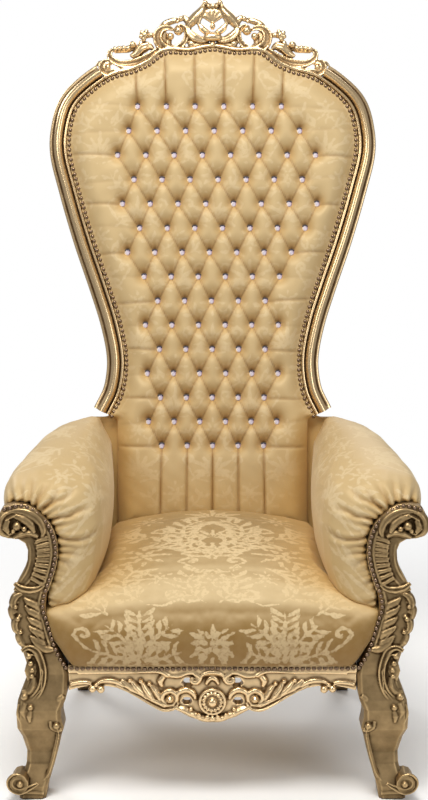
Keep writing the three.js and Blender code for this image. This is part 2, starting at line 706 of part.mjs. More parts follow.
function frontApron() {
  const holes = [[54, 266, 15, 12], [57, 223, 12, 9]].flatMap(([x, y, wide, tall]) => [
    ovalHole(x, y, wide, tall), ovalHole(-x, y, wide, tall),
  ]);
  const face = APRON_FACE;
  const half = [
    // lower bead with its two small balls
    limb([[APRON_HALF - 6, 266], [290, 267], [272, 265]], [5, 5, 5], { lift: face, steps: 2 }),
    ball(268, 252, 8, { lift: face }),
    ball(249, 251, 8, { lift: face }),
    // rolled lower edge running into the volute
    limb([[262, 263], [236, 271], [212, 267], [186, 253], [160, 239], [134, 224], [108, 211], [86, 214]],
      [4, 6, 6, 7, 8, 8, 8, 6], { lift: face, steps: 7 }),
    limb(spiral(95, 229, 17, 9, -0.5, 0.85), [6, 5], { lift: face + 1.3, steps: 5 }),
    ball(95, 229, 10, { lift: face + 3 }),
    // acanthus leaves
    limb([[112, 224], [126, 242], [138, 258]], [7, 8, 4], { lift: face, steps: 2 }),
    limb([[124, 218], [143, 238], [160, 265]], [8, 8, 4], { lift: face, steps: 2 }),
    limb([[148, 230], [168, 248], [188, 266]], [8, 8, 4], { lift: face, steps: 2 }),
    // thin upper bead and its scroll end
    limb([[236, 291], [190, 291], [140, 293], [112, 291], [96, 283]], [3, 3, 4, 5, 6],
      { lift: face, steps: 3 }),
    limb([[96, 284], [74, 285], [52, 290], [34, 286]], [5, 5, 5, 5], { lift: face, steps: 2 }),
    // C scroll beside the rosette, and the crown over it
    limb([[78, 238], [68, 247], [54, 250], [42, 242], [36, 230]], [5, 6, 6, 6, 4], { lift: face, steps: 3 }),
    ball(33, 276, 8, { lift: face + 2 }),
    // leaves under the rosette
    limb([[84, 211], [62, 204], [42, 192], [22, 183], [0, 181]], [6, 7, 7, 7, 8], { lift: face, steps: 3 }),
  ];
  return join([
    slab(apronOutline(), -APRON_BACK, face, holes),
    box([-APRON_HALF, RAIL_TOP - APRON_BAND, -APRON_BACK], [APRON_HALF, RAIL_TOP, LEG_FACE]),
    ...onBothSides(half),
    limb([[-28, 277], [-15, 286], [0, 289], [15, 286], [28, 277]], [6, 6], { lift: face + 2 }),
    ...rosette(),
  ]);
}

function seatNails() {
  const hump = [[APRON_HALF - 2, 302], [300, 301], [273, 302], [160, 300], [80, 300], [0, 302]];
  const other = hump.slice(0, -1).reverse().map(([x, y]) => [-x, y]);
  const path = [...hump, ...other];
  const outer = offsetPath(path, NAIL_WIDTH / 2, 16);
  const inner = offsetPath(path, -NAIL_WIDTH / 2, 16).reverse();
  return slab([...outer, ...inner], LEG_FACE + GAP, LEG_FACE + GAP + NAIL_PROUD);
}

// Seat: crowned across, rounded over at the front and wider there.
// Each station is [depth, half width, height at the side, height of the crown, underside].
const SEAT_FOOT_SETBACK = 3.7;
const SEAT_FOOT_HALF = APRON_HALF - SEAT_FOOT_SETBACK;
const SEAT_STATIONS = [
  [-418, 292, 390, 409, 347], [-411, 326, 415, 440, 327], [-399, 341, 430, 463, 312],
  [-360, 345, 440, 484, RAIL_TOP + GAP], [-300, 312, 458, 504, RAIL_TOP + GAP],
  [-200, 281, 477, 521, RAIL_TOP + GAP], [-50, 273, 492, 534, RAIL_TOP + GAP],
  [100, 257, 500, 538, RAIL_TOP + GAP], [168, 246, 500, 534, RAIL_TOP + GAP],
];

function seat(growth = 0) {
  const shares = [1, 0.75, 0.4, 0, -0.4, -0.75, -1];
  const first = SEAT_STATIONS[0][0];
  return loft(SEAT_STATIONS.map(([y, half, side, crown, under]) => {
    const width = half + growth;
    const foot = Math.min(width, SEAT_FOOT_HALF + growth);
    const top = shares.map((share) => [
      share * width, THREE.MathUtils.lerp(side, crown, 1 - share * share) + growth,
    ]);
    const middle = (side + under) / 2;
    const ring = [[-foot, under - growth], [foot, under - growth], [width, middle], ...top, [-width, middle]];
    return ring.map(([x, z]) => new THREE.Vector3(x, y === first ? y - growth : y, z));
  }));
}

// Arms: each station is [depth, inner edge, outer edge, top, underside of the roll, neck, outside panel].
const ARM_STATIONS = [
  [-386, 322, 451, ARM_TOP_FRONT - 36, 612, 397, 402], [-376, 285, 457, ARM_TOP_FRONT - 20, 611, 397, 402],
  [-352, 258, 463, ARM_TOP_FRONT, 609, 397, 403], [-305, 245, 469, ARM_TOP_FRONT + 16, 608, 399, 405],
  [-220, 240, 464, ARM_TOP_FRONT + 28, 612, 398, 404], [-100, 239, 450, ARM_TOP_REAR - 9, 622, 389, 396],
  [20, 243, 430, ARM_TOP_REAR, 634, 377, 386], [130, 248, 404, ARM_TOP_REAR + 2, 644, 362, 371],
  [ARM_REAR, 252, 366, ARM_TOP_REAR - 4, 648, 346, 354],
];

function armRing([y, inner, outer, top, under, neck, panel]) {
  return [
    [panel, RAIL_TOP - 10], [inner + 60, RAIL_TOP - 10], [inner + 34, 420], [inner + 8, 530], [inner, 610],
    [inner + 6, top - 66], [inner + 27, top - 28], [THREE.MathUtils.lerp(inner, outer, 0.36), top - 5],
    [THREE.MathUtils.lerp(inner, outer, 0.62), top], [outer - 24, top - 13], [outer - 4, top - 38],
    [outer, (top + under) / 2], [outer - 14, under], [neck + 10, under - ARM_NECK_DROP / 2],
    [neck, under - ARM_NECK_DROP], [panel, 460],
  ].map(([x, z]) => new THREE.Vector3(x, y, z));
}

// Each arm is cut by its own side of the seat. The side is a function that mirrors or keeps a body.
function arm(side) {
  const roll = loft([
    ...ARM_STATIONS.map(armRing),
    armRing([ARM_REAR + 60, 254, 350, ARM_TOP_REAR - 10, 648, 340, 348]),
  ]);
  const toWorld = frontMatrix();
  const facing = slab(facingOutline(GAP), -FACING_BACK - GAP, REACH).applyMatrix4(toWorld);
  const legBack = -FRONT_FACE + LEG_BACK + GAP;
  const [lipInner, kneeTop, footInner] = [LEG_LEVELS[0][1], LEG_LEVELS[2][0], LEG_LEVELS[7][1]];
  const room = [
    facing,
    box([0, -REACH, 0], [REACH, REACH, RAIL_TOP + GAP]),
    box([footInner - SEAM, -REACH, 0], [REACH, legBack, kneeTop]),
    box([lipInner - GAP, -REACH, 0], [REACH, legBack, LIP_LEVEL + GAP]),
    box([0, ARM_INSET, 0], [CUSHION_FOOT_HALF + SEAM, REACH, REACH]),
    box([-REACH, 0, -REACH], [REACH, REACH, PANEL_FRONT + GAP]).applyMatrix4(backMatrix()),
  ];
  return cut(side(roll), [seat(SEAM), ...room.map(side)]);
}

// Plain rails and rear legs
function sideRail() {
  const front = -FRONT_FACE + LEG_BACK + GAP;
  const outer = [SIDE_RAIL_FRONT, REAR_LEG_X + REAR_LEG_WIDTH / 2 - SIDE_RAIL_SETBACK];
  const plan = [
    [outer[0], front], [outer[1], RAIL_REAR], [outer[1] - SIDE_RAIL_THICK, RAIL_REAR],
    [outer[0] - SIDE_RAIL_THICK, front],
  ];
  return slab(plan, RAIL_TOP - RAIL_HEIGHT, RAIL_TOP);
}

function rearLeg() {
  const steps = 6;
  const rings = [];
  const rear = RAIL_REAR + GAP + REAR_LEG_DEPTH / 2;
  for (let i = 0; i <= steps; i += 1) {
    const share = i / steps;
    const taper = 1 - 0.14 * Math.sin(Math.PI * share);
    const x = REAR_LEG_X + REAR_LEG_SPLAY * share * share;
    const y = rear + REAR_LEG_RAKE * share ** 1.9;
    const [w, d] = [(REAR_LEG_WIDTH / 2) * taper, (REAR_LEG_DEPTH / 2) * taper];
    const [flatW, flatD] = [w - REAR_LEG_CHAMFER, d - REAR_LEG_CHAMFER];
    rings.push([
      [x - flatW, y - d], [x + flatW, y - d], [x + w, y - flatD], [x + w, y + flatD],
      [x + flatW, y + d], [x - flatW, y + d], [x - w, y + flatD], [x - w, y - flatD],
    ].map(([px, py]) => new THREE.Vector3(px, py, RAIL_TOP * (1 - share))));
  }
  return loft(rings);
}

function backRail() {
  const half = REAR_LEG_X - REAR_LEG_WIDTH / 2 - GAP;
  const front = RAIL_REAR + GAP + SIDE_RAIL_SETBACK;
  return box([-half, front, RAIL_TOP - RAIL_HEIGHT], [half, front + BACK_RAIL_THICK, RAIL_TOP]);
}

// Frames of the back and of the front carving: x across, y up the board, z towards the front
function backMatrix() {
  const turn = THREE.MathUtils.degToRad(90 - LEAN);
  return new THREE.Matrix4().makeRotationX(turn).setPosition(0, BACK_FOOT, 0);
}

function frontMatrix() {
  return new THREE.Matrix4().makeRotationX(Math.PI / 2).setPosition(0, -FRONT_FACE, 0);
}

function piece(name, geometry, material) {
  const mesh = new THREE.Mesh(geometry, material);
  mesh.name = name;
  return mesh;
}

function pair(name, geometry, material) {
  return [
    piece(`${name}_right`, geometry, material()),
    piece(`${name}_left`, mirrored(geometry), material()),
  ];
}

const back = new THREE.Group();
back.applyMatrix4(backMatrix());
back.add(
  ...pair('stile', stile(), gilt),
  piece('crest_rail', crestRail(), gilt()),
  piece('back_cushion', backCushion(), damask()),
  piece('back_panel', backPanel(), damask()),
  piece('nail_trim_back', backNails(), bronze()),
);

const front = new THREE.Group();
front.applyMatrix4(frontMatrix());
front.add(
  ...pair('arm_front', armFront(), gilt),
  ...pair('front_leg', frontLeg(), gilt),
  ...pair('nail_trim_arm', armNails(), bronze),
  piece('front_apron', frontApron(), gilt()),
  piece('nail_trim_seat', seatNails(), bronze()),
);

const throne = new THREE.Group();
throne.add(
  back, front,
  piece('seat_cushion', seat(), damask()),
  piece('arm_right', arm((body) => body), damask()),
  piece('arm_left', arm(mirrored), damask()),
  ...pair('side_rail', sideRail(), gilt),
  ...pair('rear_leg', rearLeg(), gilt),
  piece('back_rail', backRail(), gilt()),
);

// The origin goes to the middle of the footprint
throne.updateMatrixWorld(true);
const extent = new THREE.Box3().setFromObject(throne, true);
throne.position.y = -(extent.min.y + extent.max.y) / 2;
throne.updateMatrixWorld(true);

export default throne;
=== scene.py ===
from math import cos, pi, radians, sin

import bpy
import numpy as np
from mathutils import Matrix


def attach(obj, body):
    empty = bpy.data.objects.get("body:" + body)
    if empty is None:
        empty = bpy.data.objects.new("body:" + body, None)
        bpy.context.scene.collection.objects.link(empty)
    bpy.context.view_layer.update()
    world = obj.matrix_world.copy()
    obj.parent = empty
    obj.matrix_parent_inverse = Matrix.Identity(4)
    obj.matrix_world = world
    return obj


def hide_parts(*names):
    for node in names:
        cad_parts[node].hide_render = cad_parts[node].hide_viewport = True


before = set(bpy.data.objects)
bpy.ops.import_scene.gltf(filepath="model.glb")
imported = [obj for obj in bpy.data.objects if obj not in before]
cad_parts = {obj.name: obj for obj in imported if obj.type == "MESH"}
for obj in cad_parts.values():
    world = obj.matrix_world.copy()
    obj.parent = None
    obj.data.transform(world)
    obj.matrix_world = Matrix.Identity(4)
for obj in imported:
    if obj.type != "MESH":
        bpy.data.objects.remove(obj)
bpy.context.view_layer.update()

# Camera, floor and lights
# The throne is seen from the front and a little from above. It stands on a pale round floor that fades
# into a white studio, under soft light from above and a little from the left.
CAMERA_PLACE = (0.0035, -4.0, 1.50)
CAMERA_PITCH = 80.64
CAMERA_LENS = 75.9
FLOOR_COLOUR = (0.97, 0.968, 0.96, 1)
FLOOR_RADIUS = 3.4
FLOOR_FADE = (0.9, 2.8)

FLOOR_ROUGHNESS = 0.7
WORLD_COLOUR = (0.96, 0.96, 0.97, 1)
WORLD_STRENGTH = 0.34

bpy.ops.object.select_all(action="DESELECT")
bpy.ops.object.camera_add(location=CAMERA_PLACE, rotation=(radians(CAMERA_PITCH), 0, 0))
camera = bpy.context.object
camera.data.lens = CAMERA_LENS
camera.data.sensor_width = 36
bpy.context.scene.camera = camera
bpy.context.scene.view_settings.view_transform = "Standard"


def add_node(tree, kind, links=(), **settings):
    """A node with its settings; links are (input, source socket or value) pairs."""
    node = tree.nodes.new(kind)
    for key, value in settings.items():
        setattr(node, key, value)
    for place, source in links:
        if isinstance(source, bpy.types.NodeSocket):
            tree.links.new(source, node.inputs[place])
        else:
            node.inputs[place].default_value = source
    return node


def ranged(tree, source, given=(0, 1), wanted=(0, 1), **settings):
    """A value carried from the given range to the wanted one."""
    ends = zip(("From Min", "From Max", "To Min", "To Max"), (*given, *wanted))
    return add_node(tree, "ShaderNodeMapRange", [("Value", source), *ends], **settings).outputs["Result"]


def new_material(name):
    """A new material, its node tree and its shader."""
    material = bpy.data.materials.new(name)
    material.use_nodes = True
    return material, material.node_tree, material.node_tree.nodes["Principled BSDF"]


bpy.ops.mesh.primitive_circle_add(vertices=96, radius=FLOOR_RADIUS, fill_type="NGON")
floor = bpy.context.object
floor.name = "studio_floor"
floor_material, tree, finish = new_material("pale_floor")
finish.inputs["Base Color"].default_value = FLOOR_COLOUR
finish.inputs["Roughness"].default_value = FLOOR_ROUGHNESS
space = add_node(tree, "ShaderNodeTexCoord")
reach = add_node(tree, "ShaderNodeVectorMath", [(0, space.outputs["Object"])], operation="LENGTH")
fade = ranged(tree, reach.outputs["Value"], FLOOR_FADE, (1, 0), interpolation_type="SMOOTHSTEP")
tree.links.new(fade, finish.inputs["Alpha"])
floor.data.materials.append(floor_material)


def soft_light(name, place, turn, size, power, colour=(1, 1, 1)):
    """A large square lamp. Turn gives its tilt from straight down and its heading, in degrees."""
    bpy.ops.object.light_add(type="AREA", location=place, rotation=(radians(turn[0]), 0, radians(turn[1])))
    lamp = bpy.context.object
    lamp.name = name
    lamp.data.size = size
    lamp.data.energy = power
    lamp.data.color = colour


soft_light("top", (-0.25, -1.5, 3.7), (16, 0), 1.5, 96, (1, 0.98, 0.95))
soft_light("key", (-2.2, -2.9, 2.7), (58, -38), 1.3, 30, (1, 0.97, 0.93))
soft_light("fill", (2.5, -2.6, 1.6), (72, 46), 1.6, 22, (0.97, 0.98, 1))
soft_light("rim", (-2.2, 1.9, 2.6), (-58, 48), 1.2, 26)
soft_light("rear", (0.6, 2.6, 2.9), (-48, -12), 1.8, 30)

world = bpy.context.scene.world or bpy.data.worlds.new("studio")
bpy.context.scene.world = world
world.use_nodes = True
tree = world.node_tree
glow = tree.nodes["Background"]
glow.inputs["Color"].default_value = WORLD_COLOUR
glow.inputs["Strength"].default_value = WORLD_STRENGTH
white = add_node(tree, "ShaderNodeBackground", [("Color", (1, 1, 1, 1))])
seen = add_node(tree, "ShaderNodeLightPath")
studio = add_node(tree, "ShaderNodeMixShader", [
    (0, seen.outputs["Is Camera Ray"]), (1, glow.outputs[0]), (2, white.outputs[0]),
])
tree.links.new(studio.outputs[0], tree.nodes["World Output"].inputs["Surface"])

# Nail line of the back
# The carved frame, the upholstery and the nails of the back all follow this line. It is drawn in the
# sloping plane of the back, across and up the slope, and is the same on both sides.
MM = 0.001
LEAN = 7.5
BACK_FOOT = 153.484
STILE_FOOT = 763
NAIL_PEAK = 1694
WAIST_HALF = 220
SHOULDER_HALF = 364
FLARE_HALF = 258
SIDE_SHARES = [
    (0.076, 0.061), (0, 0.126), (0.007, 0.179), (0.118, 0.265), (0.313, 0.362), (0.604, 0.496),
    (0.854, 0.631), (1, 0.727), (0.986, 0.781), (0.868, 0.843), (0.59, 0.888), (0.243, 0.923),
]
CREST_SHARES = [(0.55, 0.94), (0.44, 0.96), (0.33, 0.9903), (0.165, 0.9903), (0, 1)]


def through(points, steps=10):
    """A smooth line through given points, as an array of closely spaced ones."""
    points = np.array(points, float)
    ends = [2 * points[0] - points[1], 2 * points[-1] - points[-2]]
    chain = np.vstack([ends[0], points, ends[1]])
    share = np.linspace(0, 1, steps, endpoint=False)[:, None]
    line = []
    for before, start, end, after in zip(chain, chain[1:], chain[2:], chain[3:]):
        gaps = [max(np.linalg.norm(b - a), 1e-9) ** 0.5 for a, b in ((before, start), (start, end), (end, after))]
        leave = (start - before) / gaps[0] - (end - before) / (gaps[0] + gaps[1]) + (end - start) / gaps[1]
        arrive = (end - start) / gaps[1] - (after - start) / (gaps[1] + gaps[2]) + (after - end) / gaps[2]
        leave, arrive = leave * gaps[1], arrive * gaps[1]
        curve = 3 * (end - start) - 2 * leave - arrive
        line.append(start + leave * share + curve * share**2 + (2 * (start - end) + leave + arrive) * share**3)
    return np.vstack([*line, points[-1:]])


def evenly(line, pitch):
    """Points along a line at equal steps of about the pitch, and the line's direction at each."""
    lengths = np.concatenate([[0], np.cumsum(np.linalg.norm(np.diff(line, axis=0), axis=1))])
    places = np.linspace(0, lengths[-1], max(2, round(lengths[-1] / pitch) + 1))
    points = np.stack([np.interp(places, lengths, line[:, k]) for k in range(line.shape[1])], axis=1)
    ways = np.gradient(points, axis=0)
    return points, ways / np.linalg.norm(ways, axis=1)[:, None]


def beside(line, distance, pitch=6):
    """The line moved sideways, to the right of the way it runs where the distance is positive."""
    points, ways = evenly(line, pitch)
    return points + distance * np.stack([ways[:, 1], -ways[:, 0]], axis=1)


rise = NAIL_PEAK - STILE_FOOT
half_line = [(FLARE_HALF, STILE_FOOT)]
half_line += [(WAIST_HALF + w * (SHOULDER_HALF - WAIST_HALF), STILE_FOOT + h * rise) for w, h in SIDE_SHARES]
half_line += [(w * SHOULDER_HALF, STILE_FOOT + h * rise) for w, h in CREST_SHARES]
nail_line = through(half_line + [(-x, y) for x, y in half_line[-2::-1]])


back_board = Matrix.Translation((0, BACK_FOOT * MM, 0)) @ Matrix.Rotation(radians(90 - LEAN), 4, "X")
back_board = back_board @ Matrix.Scale(MM, 4)


def lean_back(piece):
    """Turns a piece drawn flat, in millimetres, up into the sloping plane of the back."""
    piece.data.transform(back_board)


# Gilding
# All the carved wood is gilded, its tone patchy at random. Painted light lies in its colour: painted highlights
# of bright warm silver-gold on what stands proud, painted brown shade in the hollows.
GILT_BRIGHT = (0.84, 0.62, 0.35, 1)
GILT_DEEP = (0.11, 0.055, 0.018, 1)


def node_group(name, inputs, outputs):
    """An empty shader node group with these sockets, and its nodes for the group's ends."""
    group = bpy.data.node_groups.new(name, "ShaderNodeTree")
    for label, kind, value in inputs:
        socket = group.interface.new_socket(name=label, in_out="INPUT", socket_type=kind)
        socket.default_value = value
    for label, kind in outputs:
        group.interface.new_socket(name=label, in_out="OUTPUT", socket_type=kind)
    return group, group.nodes.new("NodeGroupInput"), group.nodes.new("NodeGroupOutput")


def noise(tree, space, scale, detail, rough=0.5):
    """The strength of a noise of the piece's own space."""
    return add_node(tree, "ShaderNodeTexNoise", [
        ("Vector", space.outputs["Object"]), ("Scale", scale), ("Detail", detail), ("Roughness", rough),
    ]).outputs["Fac"]


def worked_out(tree, operation, *values, **settings):
    """The result of a sum on values."""
    return add_node(tree, "ShaderNodeMath", enumerate(values), operation=operation, **settings).outputs[0]


def mixed(tree, share, none, full):
    """A colour between two, by share."""
    return add_node(tree, "ShaderNodeMix", [("Factor", share), (6, none), (7, full)], data_type="RGBA").outputs[2]


def openness(tree, distance, closed, free, wanted=(0, 1)):
    """How open a place is, from its occlusion within the distance."""
    around = add_node(tree, "ShaderNodeAmbientOcclusion", [("Distance", distance)], samples=4)
    return ranged(tree, around.outputs["AO"], (closed, free), wanted)


def dressed(tree, finish, effect, values, strength, height):
    """An effect's node with its values, that gives the shader its colour, roughness and relief."""
    node = add_node(tree, "ShaderNodeGroup", node_tree=effect)
    for label, value in values:
        node.inputs[label].default_value = value
    bump = add_node(tree, "ShaderNodeBump", [
        ("Height", node.outputs["Height"]), ("Strength", strength), ("Distance", height),
    ])
    tree.links.new(node.outputs["Colour"], finish.inputs["Base Color"])
    tree.links.new(node.outputs["Roughness"], finish.inputs["Roughness"])
    tree.links.new(bump.outputs["Normal"], finish.inputs["Normal"])
    return node


FLOAT, COLOUR = "NodeSocketFloat", "NodeSocketColor"
EFFECT_ENDS = [("Colour", COLOUR), ("Roughness", FLOAT), ("Height", FLOAT)]

painted_light, painted_light_in, painted_light_out = node_group("gilding_painted_light", [
    ("Bright", COLOUR, GILT_BRIGHT), ("Deep", COLOUR, GILT_DEEP), ("Hollow reach", FLOAT, 0.012),
    ("Edge highlight", FLOAT, 0.55),
], EFFECT_ENDS)
space = add_node(painted_light, "ShaderNodeTexCoord")
edges = add_node(painted_light, "ShaderNodeNewGeometry")
# painted highlight: sharp edges, found by their pointiness, are painted bright
edge_highlight_share = ranged(painted_light, edges.outputs["Pointiness"], (0.465, painted_light_in.outputs["Edge highlight"]))
# painted shade: hollows, found by occlusion within the hollow reach, are painted deep brown
unshaded_share = openness(painted_light, painted_light_in.outputs["Hollow reach"], 0.25, 0.85)
patches = ranged(painted_light, noise(painted_light, space, 34.0, 4.0, 0.55), (0.3, 0.7), (-0.06, 0.05))
painted_light_share = worked_out(painted_light, "MULTIPLY_ADD", unshaded_share, edge_highlight_share, patches)
spread = worked_out(painted_light, "MULTIPLY", painted_light_share, 1.9, use_clamp=True)
gilt = mixed(painted_light, spread, painted_light_in.outputs["Deep"], painted_light_in.outputs["Bright"])
painted_light.links.new(gilt, painted_light_out.inputs["Colour"])
painted_light.links.new(ranged(painted_light, spread, wanted=(0.62, 0.26)), painted_light_out.inputs["Roughness"])
painted_light.links.new(noise(painted_light, space, 420.0, 3.0), painted_light_out.inputs["Height"])


def gilding(name, bright=GILT_BRIGHT, deep=GILT_DEEP, reach=0.012, metal=0.95, edge_highlight=0.55):
    """Gilding over carved wood, with painted highlights on its edges and painted shade in its hollows."""
    material, tree, finish = new_material(name)
    values = ("Bright", bright), ("Deep", deep), ("Hollow reach", reach), ("Edge highlight", edge_highlight)
    dressed(tree, finish, painted_light, values, 0.18, 0.0006)
    finish.inputs["Metallic"].default_value = metal
    return material


carved_gilding = gilding("carved_gilding")

# Stiles
# The two sides of the back frame are turned mouldings of gilded wood: a round bead between a thin
# fillet beside the nails and a hollow at the outer edge. They run from the arms up to the crest.
STILE_THICK = 48
CREST_JOINT_HALF = 270
STILE_SECTION = [
    (6.3, -48), (6.3, -1), (7, 1), (9.5, 3.4), (12, 3.6), (14, 2.4), (15.2, -1.5), (16.6, -2.2), (18.5, 3),
    (21.5, 8.2), (25.5, 11.3), (29, 11.9), (33, 10.6), (37, 6.8), (39.4, 1), (40.5, -5), (43, -8.6),
    (46.5, -10.2), (49.5, -10.6), (51.4, -12.2), (52, -15), (52, -48),
]


def pick(piece):
    """Selects this piece alone and makes it the active one."""
    bpy.ops.object.select_all(action="DESELECT")
    piece.select_set(True)
    bpy.context.view_layer.objects.active = piece


def drawn(lines, closed=False):
    """A curve through points. Each line is an array of x, y, z and radius."""
    bpy.ops.object.select_all(action="DESELECT")
    bpy.ops.curve.primitive_nurbs_path_add(location=(0, 0, 0))
    curve = bpy.context.object
    curve.data.splines.clear()
    for line in lines:
        spline = curve.data.splines.new("POLY")
        spline.points.add(len(line) - 1)
        spline.points.foreach_set("co", np.c_[line[:, :3], np.ones(len(line))].ravel())
        spline.points.foreach_set("radius", line[:, 3])
        spline.use_cyclic_u = closed
    curve.data.dimensions = "3D"
    curve.data.twist_mode = "Z_UP"
    return curve


def swept(lines, section):
    """A mesh of the section carried along the lines, upright, as large as the radius says."""
    profile = drawn([np.c_[np.array(section, float), np.zeros(len(section)), np.ones(len(section))]], True)
    path = drawn(lines)
    path.data.bevel_mode = "OBJECT"
    path.data.bevel_object = profile
    path.data.use_fill_caps = True
    bpy.ops.object.convert(target="MESH")
    piece = bpy.context.object
    bpy.data.objects.remove(profile)
    return piece


def flat_line(line, height=0.0, radius=1.0):
    """A line in the plane of a board, raised by the height."""
    return np.c_[line, np.full(len(line), height), np.full(len(line), radius)]


def tidied(piece, name):
    """Merges doubled points, turns the faces outwards and names the piece."""
    pick(piece)
    bpy.ops.object.mode_set(mode="EDIT")
    bpy.ops.mesh.select_all(action="SELECT")
    bpy.ops.mesh.remove_doubles(threshold=0.00002)
    bpy.ops.mesh.normals_make_consistent(inside=False)
    bpy.ops.object.mode_set(mode="OBJECT")
    piece.name = name
    return piece


def finished(piece, material, slot, *nodes, angle=40):
    """Gives a piece its finish and smooth shading, hangs it on the root body and hides the solids it stands for."""
    piece.data.materials.clear()
    piece.data.materials.append(material)
    pick(piece)
    bpy.ops.object.shade_smooth_by_angle(angle=radians(angle))
    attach(piece, "root")
    if nodes:
        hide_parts(*nodes)


right_run = nail_line[:len(nail_line) // 2 + 1]
joint = int(np.argmax((right_run[:, 0] < CREST_JOINT_HALF) & (right_run[:, 1] > 1500)))
for side, node in ((1, "stile_right"), (-1, "stile_left")):
    run = evenly(right_run[:joint], 7)[0] * (side, 1)
    section = [(side * x, z) for x, z in STILE_SECTION]
    stile = swept([flat_line(run)], section)
    lean_back(stile)
    tidied(stile, node + "_moulding")
    finished(stile, carved_gilding, "gilt_wood", node)

# Deep-buttoned back
# The back is stuffed over webbing and pulled in by buttons, so the damask stands in diamonds between
# folds that run from button to button. From the outer buttons straight folds run to the frame.
FIRST_ROW = 1549
ROW_PITCH = 61.6
BUTTON_COUNTS = (6, 7, 8, 7, 8, 7, 7, 6, 5, 6, 5, 6, 5, 6, 5)
ROW_SHIFTS = (-8, 4, 10, 14, 18, 25, -8, -2, -3, -2, -1, 0, -1, 0, 0)
PITCH_TOP = 73
PITCH_FOOT = 65
PAD_BORDER = 2
PAD_FULL = 33
PAD_BED = 11
PAD_FALL = 47
PUFF_HALF = 25
PLEAT_HALF = 14
PAD_FOOT = 470
PAD_FOOT_HALF = 243
PAD_BACK = -21.7
PAD_GRID = 6.8
THINNED = 0.85

rows = len(BUTTON_COUNTS)
buttons = []
for row, (count, shift) in enumerate(zip(BUTTON_COUNTS, ROW_SHIFTS)):
    pitch = PITCH_TOP + (PITCH_FOOT - PITCH_TOP) * row / (rows - 1)
    level = FIRST_ROW - row * ROW_PITCH
    buttons.append([(shift + (k - (count - 1) / 2) * pitch, level) for k in range(count)])

folds = []
for upper, lower in zip(buttons, buttons[1:]):
    for x, y in upper:
        folds += [((x, y), end) for end in lower if abs(end[0] - x) < 0.8 * PITCH_TOP]
edge_reach = SHOULDER_HALF + 40
pleats, pleat_force = [], []
for k, row in enumerate(buttons):
    sag = (14, -9, 6, -16, 3)[k % 5]
    pleats += [(row[0], (-edge_reach, row[0][1] + sag)), (row[-1], (edge_reach, row[-1][1] - sag))]
    pleat_force += [1.0 if k % 2 == 0 and k else 0.25] * 2
for row, foot, spread in ((buttons[0], NAIL_PEAK + 20, 1.05), (buttons[-1], PAD_FOOT - 20, 1.04)):
    pleats += [(place, (place[0] * spread, foot)) for place in row]
    pleat_force += [1.8] * len(row)


def points_of(piece):
    """The places of all points of the piece."""
    return np.array([v.co for v in piece.data.vertices])


def move_to(piece, places):
    """Puts all points of the piece at new places."""
    piece.data.vertices.foreach_set("co", places.ravel())


def modified(piece, kind, **settings):
    """Adds a modifier to the piece with its settings and applies it."""
    pick(piece)
    bpy.ops.object.modifier_add(type=kind)
    for key, value in settings.items():
        setattr(piece.modifiers[-1], key, value)
    bpy.ops.object.modifier_apply(modifier=piece.modifiers[-1].name)


def softened(piece, voxel, rounds):
    """Fuses a piece into one even mesh and rounds it off."""
    modified(piece, "REMESH", mode="VOXEL", voxel_size=voxel * MM)
    modified(piece, "SMOOTH", iterations=rounds)
    return piece


def reach_to(points, starts, ends):
    """Distances of all points to all straight stretches."""
    starts, ends = np.array(starts, float), np.array(ends, float)
    ways = ends - starts
    along = ((points[:, None] - starts) * ways).sum(2) / (ways**2).sum(1)
    nearest = starts + np.clip(along, 0, 1)[:, :, None] * ways
    return np.linalg.norm(points[:, None] - nearest, axis=2)


def fold_gaps(points):
    """Distance to the nearest fold between buttons, and distances to all pleats that run to the edge."""
    lines = np.array(folds), np.array(pleats)
    return reach_to(points, lines[0][:, 0], lines[0][:, 1]).min(1), reach_to(points, lines[1][:, 0], lines[1][:, 1])


def pad_depth(points, edge):
    """Height of the stuffing: full in each diamond, lower along the folds and lowest at the buttons,
    with the deepest of each pit just above its button."""
    to_folds, to_pleats = fold_gaps(points)
    puff = np.sqrt(1 - (1 - np.clip(to_folds / PUFF_HALF, 0, 1)) ** 2)
    slack = np.sqrt(1 - (1 - np.clip(to_pleats / PLEAT_HALF, 0, 1)) ** 2)
    slack = 1 - (pleat_force * (1 - slack)).max(1)
    places = np.array([place for row in buttons for place in row])
    across, up = (points[:, None] - places).transpose(2, 0, 1)
    to_buttons = np.hypot(across, np.where(up > 0, 0.62 * up, 1.15 * up)).min(1)
    pits = 1 - np.exp(-(to_buttons / 15) ** 1.5)
    hollow = np.exp(-((np.hypot(across, up - 9).min(1)) / 8) ** 2)
    bed = PAD_BED * np.clip((points[:, 1] - STILE_FOOT) / 20, 0, 1)
    fall = np.sin(np.clip((edge - bed) / PAD_FALL, 0, 1) * pi / 2) ** 0.85
    return PAD_BORDER + PAD_FULL * fall * pits * (0.60 + 0.30 * puff + 0.10 * slack) - 6 * hollow


def outline_reach(points, outline):
    """Distance inside an outline, negative outside, and the nearest place on it."""
    closed = np.vstack([outline, outline[:1]])
    starts, ends = closed[:-1], closed[1:]
    ways = ends - starts
    best = np.full(len(points), np.inf)
    nearest = np.zeros_like(points)
    inside = np.zeros(len(points), bool)
    for start, end, way in zip(starts, ends, ways):
        share = np.clip(((points - start) @ way) / (way @ way), 0, 1)
        foot = start + share[:, None] * way
        gap = np.linalg.norm(points - foot, axis=1)
        closer = gap < best
        best[closer], nearest[closer] = gap[closer], foot[closer]
        crosses = (start[1] > points[:, 1]) != (end[1] > points[:, 1])
        if way[1]:
            inside ^= crosses & (points[:, 0] < start[0] + (points[:, 1] - start[1]) / way[1] * way[0])
    return np.where(inside, best, -best), nearest


